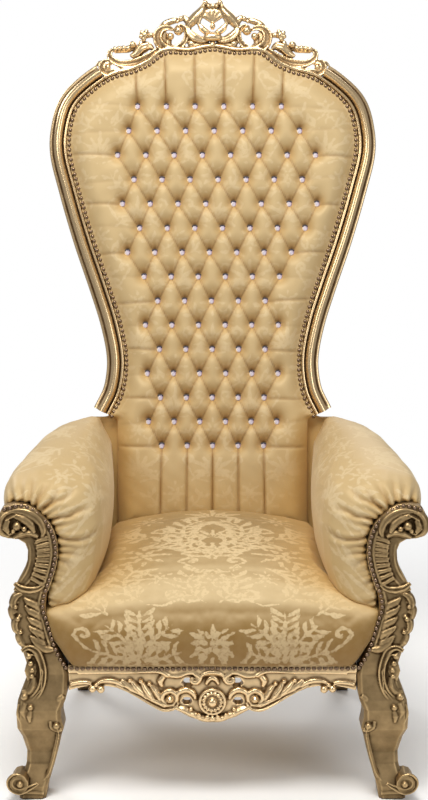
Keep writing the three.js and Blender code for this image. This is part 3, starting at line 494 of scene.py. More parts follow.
pad_outline = np.vstack([
    [(PAD_FOOT_HALF, PAD_FOOT), (PAD_FOOT_HALF, STILE_FOOT - 6)], beside(nail_line, 6, 20),
    [(-PAD_FOOT_HALF, STILE_FOOT - 6), (-PAD_FOOT_HALF, PAD_FOOT)],
])
width, height = 2 * (SHOULDER_HALF + 10), NAIL_PEAK + 10 - PAD_FOOT
bpy.ops.object.select_all(action="DESELECT")
bpy.ops.mesh.primitive_grid_add(
    x_subdivisions=round(width / PAD_GRID), y_subdivisions=round(height / PAD_GRID), size=1,
    location=(0, 0, 0),
)
pad = bpy.context.object
places = points_of(pad)
places[:, 0] *= width
places[:, 1] = PAD_FOOT + (places[:, 1] + 0.5) * height
edge, nearest = outline_reach(places[:, :2], pad_outline)
outside = edge < 0
places[outside, :2] = nearest[outside]
places[:, 2] = pad_depth(places[:, :2], np.maximum(edge, 0))
move_to(pad, places)
drop = edge < -PAD_GRID * 0.75
bpy.ops.object.mode_set(mode="EDIT")
bpy.ops.mesh.select_mode(type="VERT")
bpy.ops.mesh.select_all(action="DESELECT")
bpy.ops.object.mode_set(mode="OBJECT")
pad.data.vertices.foreach_set("select", drop)
bpy.ops.object.mode_set(mode="EDIT")
bpy.ops.mesh.delete(type="VERT")
bpy.ops.object.mode_set(mode="OBJECT")


def swell(piece, pinned, pressure, cap, frames=10, stiffness=15):
    """Lets the stuffing press the cover out for a few frames of cloth, and keeps the result.
    Pinned holds a weight for each point, and no point moves further than the cap."""
    start = points_of(piece)
    held = piece.vertex_groups.new(name="held")
    for level in np.unique(np.round(pinned, 1)):
        members = np.flatnonzero(np.round(pinned, 1) == level)
        held.add([int(k) for k in members], float(level), "REPLACE")
    bpy.context.view_layer.objects.active = piece
    bpy.ops.object.modifier_add(type="CLOTH")
    cloth = piece.modifiers[-1]
    cloth.settings.vertex_group_mass = "held"
    cloth.settings.use_pressure = True
    cloth.settings.uniform_pressure_force = pressure
    cloth.settings.tension_stiffness = stiffness
    cloth.settings.compression_stiffness = stiffness
    cloth.settings.bending_stiffness = 0.4
    cloth.settings.effector_weights.gravity = 0
    cloth.point_cache.frame_start = 1
    cloth.point_cache.frame_end = frames
    for step in range(1, frames + 1):
        bpy.context.scene.frame_set(step)
    shown = piece.evaluated_get(bpy.context.evaluated_depsgraph_get()).to_mesh()
    moved = np.array([v.co for v in shown.vertices]) - start
    piece.modifiers.remove(cloth)
    length = np.linalg.norm(moved, axis=1)
    moved *= (np.minimum(length, cap) / np.maximum(length, 1e-9))[:, None]
    move_to(piece, start + moved)
    piece.vertex_groups.remove(held)
    bpy.context.scene.frame_set(1)


def kept(piece, layer, values):
    """Keeps a value for each point of the piece, for its material to read."""
    store = piece.data.attributes.new(layer, "FLOAT", "POINT")
    store.data.foreach_set("value", np.clip(values, 0, 1).astype(np.float32))


def refined(piece):
    """Divides every face of a soft piece in four, rounding it."""
    modified(piece, "SUBSURF", levels=1)


def lightened(piece, hidden):
    """Thins the mesh where it can't be seen. Hidden tells which points those are, from their places
    in millimetres and their normals."""
    unseen = hidden(points_of(piece) / MM, np.array([v.normal for v in piece.data.vertices]))
    group = piece.vertex_groups.new(name="unseen")
    group.add([int(k) for k in np.flatnonzero(unseen)], 1, "REPLACE")
    modified(piece, "DECIMATE", vertex_group=group.name, ratio=1 - THINNED * unseen.mean())
    piece.vertex_groups.clear()


# the stuffing swells between the folds, and the folds then get their sharp creases
tidied(pad, "back_upholstery")
places = points_of(pad)
edge = outline_reach(places[:, :2], pad_outline)[0]
to_folds, to_pleats = fold_gaps(places[:, :2])
to_buttons = reach_to(places[:, :2], *[[(x, y + up) for row in buttons for x, y in row] for up in (0, 8)]).min(1)
pinned = np.maximum.reduce([
    (edge < PAD_BED + 2).astype(float), (to_buttons < 14).astype(float), 0.6 * (to_folds < 7), 0.4 * (to_pleats.min(1) < 7),
])
pad.data.transform(Matrix.Scale(MM, 4))
swell(pad, pinned, 3.5, 0.006)
pad.data.transform(Matrix.Scale(1 / MM, 4))
refined(pad)
places = points_of(pad)
to_folds, to_pleats = fold_gaps(places[:, :2])
to_buttons = reach_to(places[:, :2], *[[(x, y + up) for row in buttons for x, y in row] for up in (0, 8)]).min(1)
inside = np.clip(outline_reach(places[:, :2], pad_outline)[0] / 20, 0, 1)
pleated = (pleat_force * np.exp(-(to_pleats / 3) ** 2)).max(1)
creases = 3.6 * np.exp(-(to_folds / 2.6) ** 2) + 2.2 * pleated
places[:, 2] -= inside * creases * (1 - np.exp(-to_buttons / 10))
slack = np.sin(places[:, 0] / 11 + 2 * np.sin(places[:, 1] / 47)) * np.sin(places[:, 1] / 9 + places[:, 0] / 60)
places[:, 2] += inside * 0.5 * slack
move_to(pad, places)
button_spots = np.array([place for row in buttons for place in row])
across, up = (places[:, None, :2] - button_spots).transpose(2, 0, 1)
pit_shade = np.exp(-(across / 6.5) ** 2 - ((up - 10) / 9) ** 2).max(1)
fold_shade = 0.62 * np.exp(-(to_folds / 2.2) ** 2) + 0.42 * pleated
kept(pad, "crease", inside * np.maximum(fold_shade, 0.95 * pit_shade))

lean_back(pad)
bpy.ops.object.mode_set(mode="EDIT")
bpy.ops.mesh.select_all(action="DESELECT")
bpy.ops.mesh.select_non_manifold(extend=False)
back_way = Matrix.Rotation(radians(90 - LEAN), 3, "X") @ Matrix.Translation((0, 0, 1)).to_translation()
depth = (PAD_BACK - PAD_BORDER) * MM
bpy.ops.mesh.extrude_region_move(TRANSFORM_OT_translate={"value": tuple(back_way * depth)})
bpy.ops.mesh.edge_face_add()
bpy.ops.object.mode_set(mode="OBJECT")
tidied(pad, "back_upholstery")

# Damask
# The cover is a satin damask: figure and ground are one cloth, woven to catch the light differently,
# pale cream on warm gold.
DAMASK_FIGURE = (0.80, 0.66, 0.42, 1)
DAMASK_GROUND = (0.50, 0.33, 0.14, 1)
DAMASK_SHADE = (0.56, 0.35, 0.115, 1)
DAMASK_FOLD_SHADE = (0.22, 0.105, 0.03, 1)

weave, weave_in, weave_out = node_group("satin_damask", [
    ("Figure", COLOUR, DAMASK_FIGURE), ("Ground", COLOUR, DAMASK_GROUND), ("Share", FLOAT, 0.5),
    ("Shade", COLOUR, DAMASK_SHADE), ("Fold shade", COLOUR, DAMASK_FOLD_SHADE), ("Crease shade", FLOAT, 0.0),
    ("Painted sheen", FLOAT, 0.0),
], EFFECT_ENDS)
space = add_node(weave, "ShaderNodeTexCoord")
threads = add_node(weave, "ShaderNodeTexWave", [
    ("Vector", space.outputs["Object"]), ("Scale", 260.0), ("Distortion", 1.5), ("Detail", 1.0),
], bands_direction="DIAGONAL")
slubs = ranged(weave, noise(weave, space, 38.0, 4.0), (0.3, 0.7), (-0.07, 0.07))
ragged = ranged(weave, noise(weave, space, 75.0, 2.0), (0.3, 0.7), (-0.3, 0.3))
lobes = worked_out(weave, "ADD", weave_in.outputs["Share"], ragged)
figured = ranged(weave, lobes, (0.34, 0.66), interpolation_type="SMOOTHSTEP")
veins = ranged(weave, noise(weave, space, 130.0, 1.0), (0.36, 0.5), (0.68, 1.0))
veined = worked_out(weave, "MULTIPLY", figured, veins)
# painted sheen: the rubbed value lifts the pattern toward the pale figure, as a highlight would
sheen_washed = worked_out(weave, "SMOOTH_MAX", veined, weave_in.outputs["Painted sheen"], 0.3)
share = worked_out(weave, "ADD", sheen_washed, slubs, use_clamp=True)
cloth = mixed(weave, share, weave_in.outputs["Ground"], weave_in.outputs["Figure"])
# painted shade: places hemmed in, found by occlusion, are painted toward the shade colour
nooks = openness(weave, 0.15, 0.35, 0.92, (0.9, 0.0))
shaded = mixed(weave, nooks, cloth, weave_in.outputs["Shade"])
# painted shade: where the crease value is high, the cloth is painted dark toward the fold colour
fold_shaded = mixed(weave, weave_in.outputs["Crease shade"], shaded, weave_in.outputs["Fold shade"])
relief = worked_out(weave, "MULTIPLY_ADD", threads.outputs["Fac"], 0.35, share)
weave.links.new(fold_shaded, weave_out.inputs["Colour"])
weave.links.new(ranged(weave, share, wanted=(0.46, 0.62)), weave_out.inputs["Roughness"])
weave.links.new(relief, weave_out.inputs["Height"])


def damask(name, figure, ground):
    """Satin damask. The piece's own values say how much of each place is figure, how much painted shade
    lies in its creases and pits, and how much painted sheen washes its pattern pale."""
    material, tree, finish = new_material(name)
    cloth = dressed(tree, finish, weave, (("Figure", figure), ("Ground", ground)), 0.25, 0.0004)
    for label, layer in (("Share", "figure"), ("Crease shade", "crease"), ("Painted sheen", "painted_light")):
        pattern = add_node(tree, "ShaderNodeAttribute", attribute_name=layer)
        tree.links.new(pattern.outputs["Fac"], cloth.inputs[label])
    finish.inputs["Specular IOR Level"].default_value = 0.5
    finish.inputs["Specular Tint"].default_value = (1, 0.84, 0.58, 1)
    finish.inputs["Sheen Weight"].default_value = 0.25
    finish.inputs["Sheen Roughness"].default_value = 0.4
    finish.inputs["Sheen Tint"].default_value = (1, 0.88, 0.66, 1)
    return material


def fan(x, y, size, petals=9, spread=2.9):
    """A palmette: long petals that open upwards from their foot."""
    strokes = []
    for k in range(petals):
        way = (k / (petals - 1) - 0.5) * spread
        length = size * (1 if k % 2 == 0 else 0.84) * (1 - 0.1 * abs(way))
        tip = 1.22 * way
        strokes.append(([
            (x + 0.14 * length * sin(way), y + 0.14 * length * cos(way)),
            (x + 0.6 * length * sin(way), y + 0.6 * length * cos(way)),
            (x + length * sin(tip), y + length * cos(tip)),
        ], [0.02 * size, 0.088 * size, 0.05 * size]))
    return strokes


def flower(x, y, size):
    """A full flower: a round eye in two rings of petals."""
    strokes = [([(x, y), (x, y + 0.01)], [0.15 * size, 0.15 * size])]
    for count, near, far, wide, start in ((6, 0.3, 0.52, 0.125, 0.5), (8, 0.66, 0.9, 0.10, 0)):
        for k in range(count):
            way = 2 * pi * (k + start) / count
            strokes.append(([(x + near * size * sin(way), y + near * size * cos(way)),
                             (x + far * size * sin(way), y + far * size * cos(way))], [wide * size, 0.6 * wide * size]))
    return strokes


def tendril(x, y, size, hand=1, stem=()):
    """A curl that grows out of its stem, with a round eye."""
    curl = [(x + hand * size * (1 - 0.12 * k) * cos(0.75 * k), y + size * (1 - 0.12 * k) * sin(0.75 * k))
            for k in range(8)]
    return [(list(stem) + curl, [0.10 * size, 0.26 * size, 0.17 * size]), ([(x, y), (x, y + 0.01)], [0.2 * size] * 2)]


def leaves(points, size, count=6):
    """A branch of leaves, alternately on both sides of its stem."""
    line, ways = evenly(through(points), 4)
    strokes = [([tuple(place) for place in line[::6]] + [tuple(line[-1])], [0.05 * size, 0.09 * size, 0.04 * size])]
    for k in range(count):
        at = int((k + 0.7) / (count + 0.3) * (len(line) - 1))
        for hand in (-1, 1):
            out = np.array([ways[at][1] * hand, -ways[at][0] * hand])
            root, tip = line[at] + 0.1 * size * out, line[at] + size * (0.62 * out + 0.5 * ways[at])
            strokes.append(([tuple(root), tuple((root + tip) / 2 + 0.1 * size * out), tuple(tip)],
                            [0.06 * size, 0.14 * size, 0.04 * size]))
    return strokes


def mirrored(strokes):
    return strokes + [([(-x, y) for x, y in line], radii) for line, radii in strokes]


def figure_share(points, strokes, soft=4):
    """How much of each place of the cloth is woven as figure, for strokes laid out on the cloth."""
    share = np.zeros(len(points))
    for line, radii in strokes:
        line = np.array(line, float)
        wide = np.interp(np.linspace(0, 1, len(line)), np.linspace(0, 1, len(radii)), radii)
        reach = max(radii) + soft
        near = np.flatnonzero(np.all((points > line.min(0) - reach) & (points < line.max(0) + reach), axis=1))
        if not len(near):
            continue
        for start, end, first, last in zip(line, line[1:], wide, wide[1:]):
            way = end - start
            along = np.clip((points[near] - start) @ way / max(way @ way, 1e-9), 0, 1)
            gap = np.linalg.norm(points[near] - start - along[:, None] * way, axis=1)
            share[near] = np.maximum(share[near], 0.5 + (first + along * (last - first) - gap) / (2 * soft))
    return np.clip(share, 0, 1)


def sprigs(points, wide=190, tall=160):
    """Figure share of the plainer parts of the cover: rows of palmettes and flowers, each row set half
    a step from the one below, with curls and branches between them."""
    row = np.floor(points[:, 1] / tall)
    across = points[:, 0] / wide - 0.5 * (row % 2)
    cell = np.c_[wide * (across - np.round(across)), points[:, 1] - row * tall]
    size = wide / 200
    right = tendril(62, 14, 17, 1, [(8, -44), (48, -34)]) + leaves([(16, 46), (50, 62), (74, 100)], 36, 3)
    motif = fan(0, -30, 68) + flower(0, 92, 36) + mirrored(right)
    strokes = []
    for up in (-1, 0, 1):
        for step in (-1.5, -1, -0.5, 0, 0.5, 1, 1.5):
            if (2 * step) % 2 == up % 2:
                strokes += [([(x * size + step * wide, y * size + up * tall) for x, y in line],
                             [size * radius for radius in radii]) for line, radii in motif]
    return figure_share(cell, strokes)


back_damask = damask("back_damask", (0.59, 0.455, 0.26, 1), (0.53, 0.39, 0.20, 1))
kept(pad, "figure", sprigs(points_of(pad)[:, ::2] / MM))
finished(pad, back_damask, "damask", "back_cushion", angle=70)

# Nails
# The covers are fixed along the carved edges with close rows of domed bronze nails.
NAIL_PITCH = 12.6
NAIL_RADIUS = 5.3

bronze = gilding("antique_bronze", (0.23, 0.155, 0.10, 1), (0.02, 0.011, 0.007, 1), reach=0.008, metal=0.9, edge_highlight=0.6)


def nail_shape():
    """One domed nail, facing up."""
    bpy.ops.object.select_all(action="DESELECT")
    bpy.ops.mesh.primitive_uv_sphere_add(segments=8, ring_count=6, radius=NAIL_RADIUS)
    nail = bpy.context.object
    bpy.ops.object.mode_set(mode="EDIT")
    bpy.ops.mesh.select_all(action="SELECT")
    bpy.ops.mesh.bisect(plane_co=(0, 0, 0), plane_no=(0, 0, 1), clear_inner=True, use_fill=True)
    bpy.ops.mesh.select_all(action="SELECT")
    bpy.ops.transform.resize(value=(1, 1, 0.8))
    bpy.ops.object.mode_set(mode="OBJECT")
    return nail


def repeated(shape, name, places, turns=None):
    """One mesh of copies of a shape, each at its place and turned about its own axis."""
    points = points_of(shape)
    faces = [tuple(face.vertices) for face in shape.data.polygons]
    all_points, all_faces = [], []
    for k, place in enumerate(places):
        turn = turns[k] if turns is not None else 0
        spun = points @ np.array([[cos(turn), sin(turn), 0], [-sin(turn), cos(turn), 0], [0, 0, 1]])
        all_faces += [tuple(v + len(points) * k for v in face) for face in faces]
        all_points.append(spun + np.array(place))
    mesh = bpy.data.meshes.new(name)
    mesh.from_pydata(np.vstack(all_points).tolist(), [], all_faces)
    piece = bpy.data.objects.new(name, mesh)
    bpy.context.collection.objects.link(piece)
    return piece


nail = nail_shape()
nail_places, _ = evenly(nail_line, NAIL_PITCH)
back_nails = repeated(nail, "back_nails", np.c_[nail_places, np.full(len(nail_places), PAD_BORDER)])
lean_back(back_nails)
finished(back_nails, bronze, "bronze_nails", "nail_trim_back")

# Crystal buttons
# Each button of the back is a cut crystal in a round silver cup.
CUP_RADIUS = 10.5
CUP_RISE = 5.5
GEM_LEVEL = CUP_RISE + 0.6
CRYSTAL_GLINT = (1.0, 0.98, 1.0, 1)
CRYSTAL_FACET_SHADE = (0.50, 0.41, 0.64, 1)

bpy.ops.object.select_all(action="DESELECT")
bpy.ops.mesh.primitive_cylinder_add(vertices=16, radius=CUP_RADIUS, depth=CUP_RISE, location=(0, 0, CUP_RISE / 2))
cup = bpy.context.object
bpy.ops.object.mode_set(mode="EDIT")
bpy.ops.mesh.select_mode(type="FACE")
bpy.ops.mesh.select_all(action="DESELECT")
bpy.ops.object.mode_set(mode="OBJECT")
for face in cup.data.polygons:
    face.select = face.normal.z > 0.9
bpy.ops.object.mode_set(mode="EDIT")
bpy.ops.mesh.inset(thickness=1.6)
bpy.ops.mesh.extrude_region_move(TRANSFORM_OT_translate={"value": (0, 0, -2)})
bpy.ops.object.mode_set(mode="OBJECT")
bpy.ops.object.select_all(action="DESELECT")
bpy.ops.mesh.primitive_cone_add(vertices=8, radius1=7.8, radius2=4.4, depth=4.8, location=(0, 0, GEM_LEVEL))
gem = bpy.context.object
bpy.ops.object.mode_set(mode="EDIT")
bpy.ops.mesh.select_mode(type="FACE")
bpy.ops.mesh.select_all(action="DESELECT")
bpy.ops.object.mode_set(mode="OBJECT")
for face in gem.data.polygons:
    face.select = abs(face.normal.z) < 0.9
bpy.ops.object.mode_set(mode="EDIT")
bpy.ops.mesh.poke(offset=0.7)
bpy.ops.object.mode_set(mode="OBJECT")
for shape in (cup, gem):
    shape.data.transform(Matrix.Translation(shape.location))
    shape.location = (0, 0, 0)

silver = gilding("silver_cups", (0.36, 0.32, 0.33, 1), (0.08, 0.06, 0.07, 1), reach=0.006, metal=0.95)
crystal, tree, finish = new_material("foiled_crystal")
# painted glints and shade: facets that face left are painted near white, facets that face right a shaded lavender
facet = add_node(tree, "ShaderNodeNewGeometry")
facet_way = add_node(tree, "ShaderNodeSeparateXYZ", [("Vector", facet.outputs["True Normal"])])
facet_glint_share = ranged(tree, facet_way.outputs["X"], (-0.7, 0.7))
tree.links.new(mixed(tree, facet_glint_share, CRYSTAL_GLINT, CRYSTAL_FACET_SHADE), finish.inputs["Base Color"])
finish.inputs["Metallic"].default_value = 0.3
finish.inputs["Roughness"].default_value = 0.06
finish.inputs["Coat Weight"].default_value = 0.8

button_places = [(x, y, PAD_BORDER + 2.5) for row in buttons for x, y in row]
button_turns = [0.7 * k for k in range(len(button_places))]
for shape, name, material in ((cup, "button_cups", silver), (gem, "button_crystals", crystal)):
    piece = repeated(shape, name, button_places, button_turns)
    lean_back(piece)
    finished(piece, material, "bronze_nails", angle=12)
    bpy.data.objects.remove(shape)

# Carving
# The crest, the arm fronts, the legs and the front rail are carved from solid wood in scrolls, ribbed
# leaves and beads. Here each is built up from strokes of the gouge and then fused into one body.


def rounded(ribs=0, depth=0.95):
    """Section of a carved stroke, of radius 1: flat below and rounded or ribbed above."""
    angles = np.linspace(0, pi, 9 + 6 * ribs)
    reach = 1 - 0.17 * (0.5 - 0.5 * np.cos(2 * ribs * angles)) if ribs else np.ones(len(angles))
    top = np.stack([np.cos(angles) * reach, depth * np.sin(angles) * reach], axis=1)
    return [(-1, -0.5), (1, -0.5)] + [tuple(point) for point in top]


def channel():
    """Section of a scroll with a hollow between two raised edges."""
    return [(-1, -0.5), (1, -0.5), (1, 0.35), (0.86, 0.72), (0.62, 0.70), (0.3, 0.34), (0, 0.24), (-0.3, 0.34),
            (-0.62, 0.70), (-0.86, 0.72), (-1, 0.35)]


SECTIONS = {"round": rounded(), "leaf": rounded(2), "leaf3": rounded(3), "vein": rounded(1), "channel": channel()}


def stroke(kind, points, radii, lift=0.0):
    """A carved stroke of the kind, through points in millimetres on the board, as thick as the radii."""
    line = through(points, 7)
    share = np.linspace(0, 1, len(line))
    radius = np.interp(share, np.linspace(0, 1, len(radii)), radii)
    height = np.full(len(line), float(lift))
    return kind, np.c_[line, height, radius]


def bead(x, y, radius, lift=0.0, wide=1.0, tall=1.0, deep=1.0):
    """A carved ball or boss."""
    return "bead", (x, y, radius, lift, wide, tall, deep)


def both_sides(parts):
    """The parts and their mirror images."""
    other = []
    for kind, part in parts:
        if kind == "bead":
            other.append((kind, (-part[0], *part[1:])))
        else:
            other.append((kind, part * (-1, 1, 1, 1)))
    return parts + other


def raised(parts, up=0, lift=0):
    """The parts moved up the board and out of it."""
    moved = []
    for kind, part in parts:
        if kind == "bead":
            x, y, radius, height, *shares = part
            moved.append((kind, (x, y + up, radius, height + lift, *shares)))
        else:
            moved.append((kind, part + (0, up, lift, 0)))
    return moved


def carved(parts, name, place, voxel, base=(), thinned=0.5):
    """Fuses strokes, beads and base pieces into one carved body, stood up by place, and thins its faces."""
    pieces = []
    for kind in SECTIONS:
        lines = [part for sort, part in parts if sort == kind]
        if lines:
            pieces.append(swept(lines, SECTIONS[kind]))
            place(pieces[-1])
    for kind, part in parts:
        if kind == "bead":
            x, y, radius, lift, wide, tall, deep = part
            bpy.ops.mesh.primitive_uv_sphere_add(segments=18, ring_count=12, radius=radius)
            ball = bpy.context.object
            ball.data.transform(Matrix.Translation((x, y, lift)) @ Matrix.Diagonal((wide, tall, deep, 1)))
            pieces.append(ball)
            place(ball)
    pieces += list(base)
    bpy.ops.object.select_all(action="DESELECT")
    for piece in pieces:
        piece.select_set(True)
    bpy.context.view_layer.objects.active = pieces[0]
    bpy.ops.object.join()
    body = softened(bpy.context.object, voxel, 3)
    modified(body, "DECIMATE", ratio=thinned)
    body.name = name
    return body


# Crest rail
# One pierced carving on a moulding that follows the nails: a cartouche with a shell in the middle,
# a C scroll on each side of it, finials, and long S scrolls that end in volutes over the stiles.
CREST_THICK = 40


half_crest = [
    # upper and lower bands of the cartouche
    stroke("leaf", [(17, 122), (27, 102), (42, 86), (57, 70), (64, 58)], [6, 11, 13, 12, 7], -6),
    stroke("leaf3", [(64, 62), (60, 46), (46, 32), (26, 26), (10, 28)], [6, 12, 14, 10, 6], -6),
    stroke("vein", [(38, 72), (28, 58), (16, 48), (4, 42)], [3, 8, 8, 5], -6),
    stroke("round", [(36, 66), (33, 80), (24, 93), (10, 101), (0, 108)], [4, 5.5, 5, 5, 3.5], -6),
    bead(19, 121, 7, -1), bead(24, 112, 5, 2), bead(10, 112, 5, 0),
    # leaf curl at its shoulder
    stroke("vein", [(56, 62), (64, 76), (74, 84), (82, 79)], [8, 9, 7, 4], -8),
    bead(80, 81, 7, -4), bead(90, 74, 5, -6),
    # C scroll, thin towards the cartouche and thick outside
    stroke("channel", [(94, 58), (80, 62), (69, 52), (68, 32), (79, 14), (100, 4)], [4, 6, 6, 6, 7, 8], -4),
    stroke("channel", [(96, 5), (118, 4), (135, 17), (140, 38), (131, 53), (114, 58), (100, 53)],
           [8, 11, 12, 12, 9, 7, 4], -5),
    bead(87, 50, 12, -2), bead(107, 36, 9.5, -2),
    stroke("leaf", [(112, 34), (112, 18), (100, 12)], [9, 9, 3], -10),
    stroke("vein", [(120, 48), (127, 32), (122, 16)], [7, 10, 8], -9),
    stroke("round", [(138, 44), (122, 68), (98, 78), (76, 80)], [8, 9, 8, 4], -14),
    # outer finial
    stroke("vein", [(140, 38), (154, 40), (166, 40)], [8, 6, 8], -8),
    bead(172, 40, 10, -6), bead(180, 46, 6, -4), bead(182, 36, 6, -4),
    bead(175, 29, 6, -4), bead(168, 50, 5, -5),
    # S scroll with lobed leaves over its eye
    stroke("channel", [(132, 8), (150, -6), (172, -20), (198, -31), (224, -34), (248, -28), (262, -14),
                             (260, -2), (248, 3)], [5, 8, 10, 11, 10, 8, 7, 6, 4], -5),
    stroke("leaf3", [(150, 6), (164, 12), (178, 8), (190, -4), (204, -18)], [4, 12, 14, 11, 5], -9),
    stroke("vein", [(182, 26), (184, 10), (194, -6), (210, -14)], [4, 10, 10, 4], -6),
    bead(203, 15, 9, -2), bead(215, 6, 7, -3), bead(226, 7, 6.5, -3),
    bead(237, 6, 6.5, -3), bead(248, 4, 7, -3),
    stroke("round", [(196, 14), (214, 4), (232, 2), (250, 0)], [7, 8, 7, 6], -9),
    # bright band above the nails and the volute over the joint
    stroke("round", [(124, -6), (140, -14), (162, -28), (190, -40), (222, -48), (250, -54)],
           [4, 7, 8, 8.5, 8.5, 8], -5),
    stroke("channel", [(236, -50), (258, -56), (276, -54), (283, -42), (277, -30), (264, -28), (257, -36)],
           [7, 9, 9, 8, 7, 5, 4], -3),
    bead(266, -42, 7, 2),
    stroke("vein", [(276, -30), (288, -32), (298, -38)], [7, 7, 2], -9),
    # diamond leaf and small scroll beside the tie bar
    stroke("vein", [(56, 32), (54, 18), (53, 2)], [3, 10, 3], -7),
    stroke("round", [(66, 26), (52, 14), (36, 16), (22, 20)], [3, 5, 5, 4], -6),
    stroke("vein", [(6, 10), (24, 6), (44, 4)], [7, 8, 3], -7),
    stroke("round", [(60, 2), (84, -2), (110, -3), (128, -10)], [5, 6, 6, 5], -8),
]
middle_crest = [
    stroke("round", [(-18, 118), (0, 113), (18, 118)], [6, 6, 6], -5),
    stroke("round", [(0, 48), (0, 30)], [8, 10], -9),
    bead(0, 34, 12, -1, wide=2.1, tall=0.95),
    bead(0, 14, 9, -3), bead(0, 62, 7, -4, tall=1.4),
]
for lean in (-58, -30, 0, 30, 58):
    way = radians(lean)
    rib = [(0, 72), (14.4 * sin(way), 74.4 + 15.6 * cos(way)), (24 * sin(way), 76 + 26 * cos(way))]
    middle_crest.append(stroke("round", rib, [4, 6.5, 7.5], -7))

crest_run = right_run[joint - 1:]
crest_run = np.vstack([crest_run, (crest_run * (-1, 1))[-2::-1]])
crest_moulding = swept([flat_line(evenly(crest_run, 6)[0])], [
    (6.3, -40), (6.3, -1), (8, 3), (11, 4.6), (14, 4), (17, 1), (20, -5), (20, -40),
])
lean_back(crest_moulding)
crest_parts = raised(both_sides(half_crest) + middle_crest, up=NAIL_PEAK)
crest_rail = carved(crest_parts, "crest_rail_carving", lean_back, 1.7, [crest_moulding])
finished(crest_rail, carved_gilding, "gilt_wood", "crest_rail", angle=180)

# Arm fronts
# Each arm ends in a carved board that stands outside the nails: an acanthus volute over a fluted neck
# with a plain hollow at its outer side, and a lip at its foot.
FRONT_FACE = 385
ARM_NAILS = [
    (455, 664), (420, 671), (394, 662), (376, 645), (364, 633), (351, 607), (345, 571), (350, 535), (359, 505),
    (368, 480), (374, 457), (375, 437), (367, 409), (357, 372), (350, 349), (340, 326), (331, 311),
]
KNEE_FACE = 12
FLUTES = 9


def stand_up(piece):
    """Stands a piece that is drawn flat, in millimetres, up in the plane of the front carving."""
    place = Matrix.Translation((0, (0.084 - FRONT_FACE) * MM, 0)) @ Matrix.Rotation(pi / 2, 4, "X")
    piece.data.transform(place @ Matrix.Scale(MM, 4))


def solid_copy(node):
    """A merged copy of a solid of the frame, to be worked on."""
    bpy.ops.object.select_all(action="DESELECT")
    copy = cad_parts[node].copy()
    copy.data = copy.data.copy()
    bpy.context.collection.objects.link(copy)
    copy.parent = None
    copy.matrix_world = Matrix.Identity(4)
    tidied(copy, node + "_copy")
    return copy


arm_nail_line = through(ARM_NAILS)


def nail_x(level):
    """How far from the middle the nails are at a level below the volute."""
    low = arm_nail_line[arm_nail_line[:, 1] < 640]
    return np.interp(level, low[::-1, 1], low[::-1, 0])


arm_front = []
for k in range(FLUTES):
    level = 501 + 95 * k / (FLUTES - 1)
    slope = -9 + 15 * k / (FLUTES - 1)
    start = nail_x(level) + 13
    arm_front.append(stroke("round", [(start, level + slope), (start + 13, level), (start + 27, level - slope)],
                            [3.0, 4.6, 5.0], 1))
arm_front += [
    # beaded strip beside the nails, and the hollow down the outer side
    stroke("round", [(x + 9, y) for x, y in ARM_NAILS[4:10]], [2, 3.2, 3.2, 3.2, 3.2, 2], 0.5),
    stroke("channel", [(406, 604), (395, 582), (392, 556), (398, 528), (414, 502), (428, 488)], [4, 10, 12, 12, 10, 5],
           -5),
    # acanthus leaves of the volute, curling over its eye
    stroke("leaf3", [(374, 600), (370, 618), (380, 640), (400, 655), (424, 661), (446, 658)], [4, 9, 12, 12, 9, 4],
           0),
    stroke("leaf", [(438, 658), (457, 650), (466, 632), (462, 612), (446, 602)], [4, 9, 11, 9, 4], -1),
    stroke("vein", [(390, 612), (398, 630), (414, 643), (434, 648)], [4, 9, 9, 3], 5),
    stroke("leaf", [(382, 602), (400, 611), (420, 608), (436, 600)], [4, 9, 9, 4], 2),
    stroke("vein", [(446, 640), (452, 626), (446, 612)], [5, 8, 4], 4),
    bead(428, 627, 10, 5), bead(412, 621, 6, 8), bead(436, 616, 5, 8),
    # lip under the flutes
    stroke("channel", [(371, 494), (384, 485), (402, 482), (422, 486), (437, 497)], [4, 6, 8, 7, 4], 1),
    stroke("round", [(374, 484), (396, 475), (420, 476), (438, 484)], [3, 4, 4, 3], -1),
]

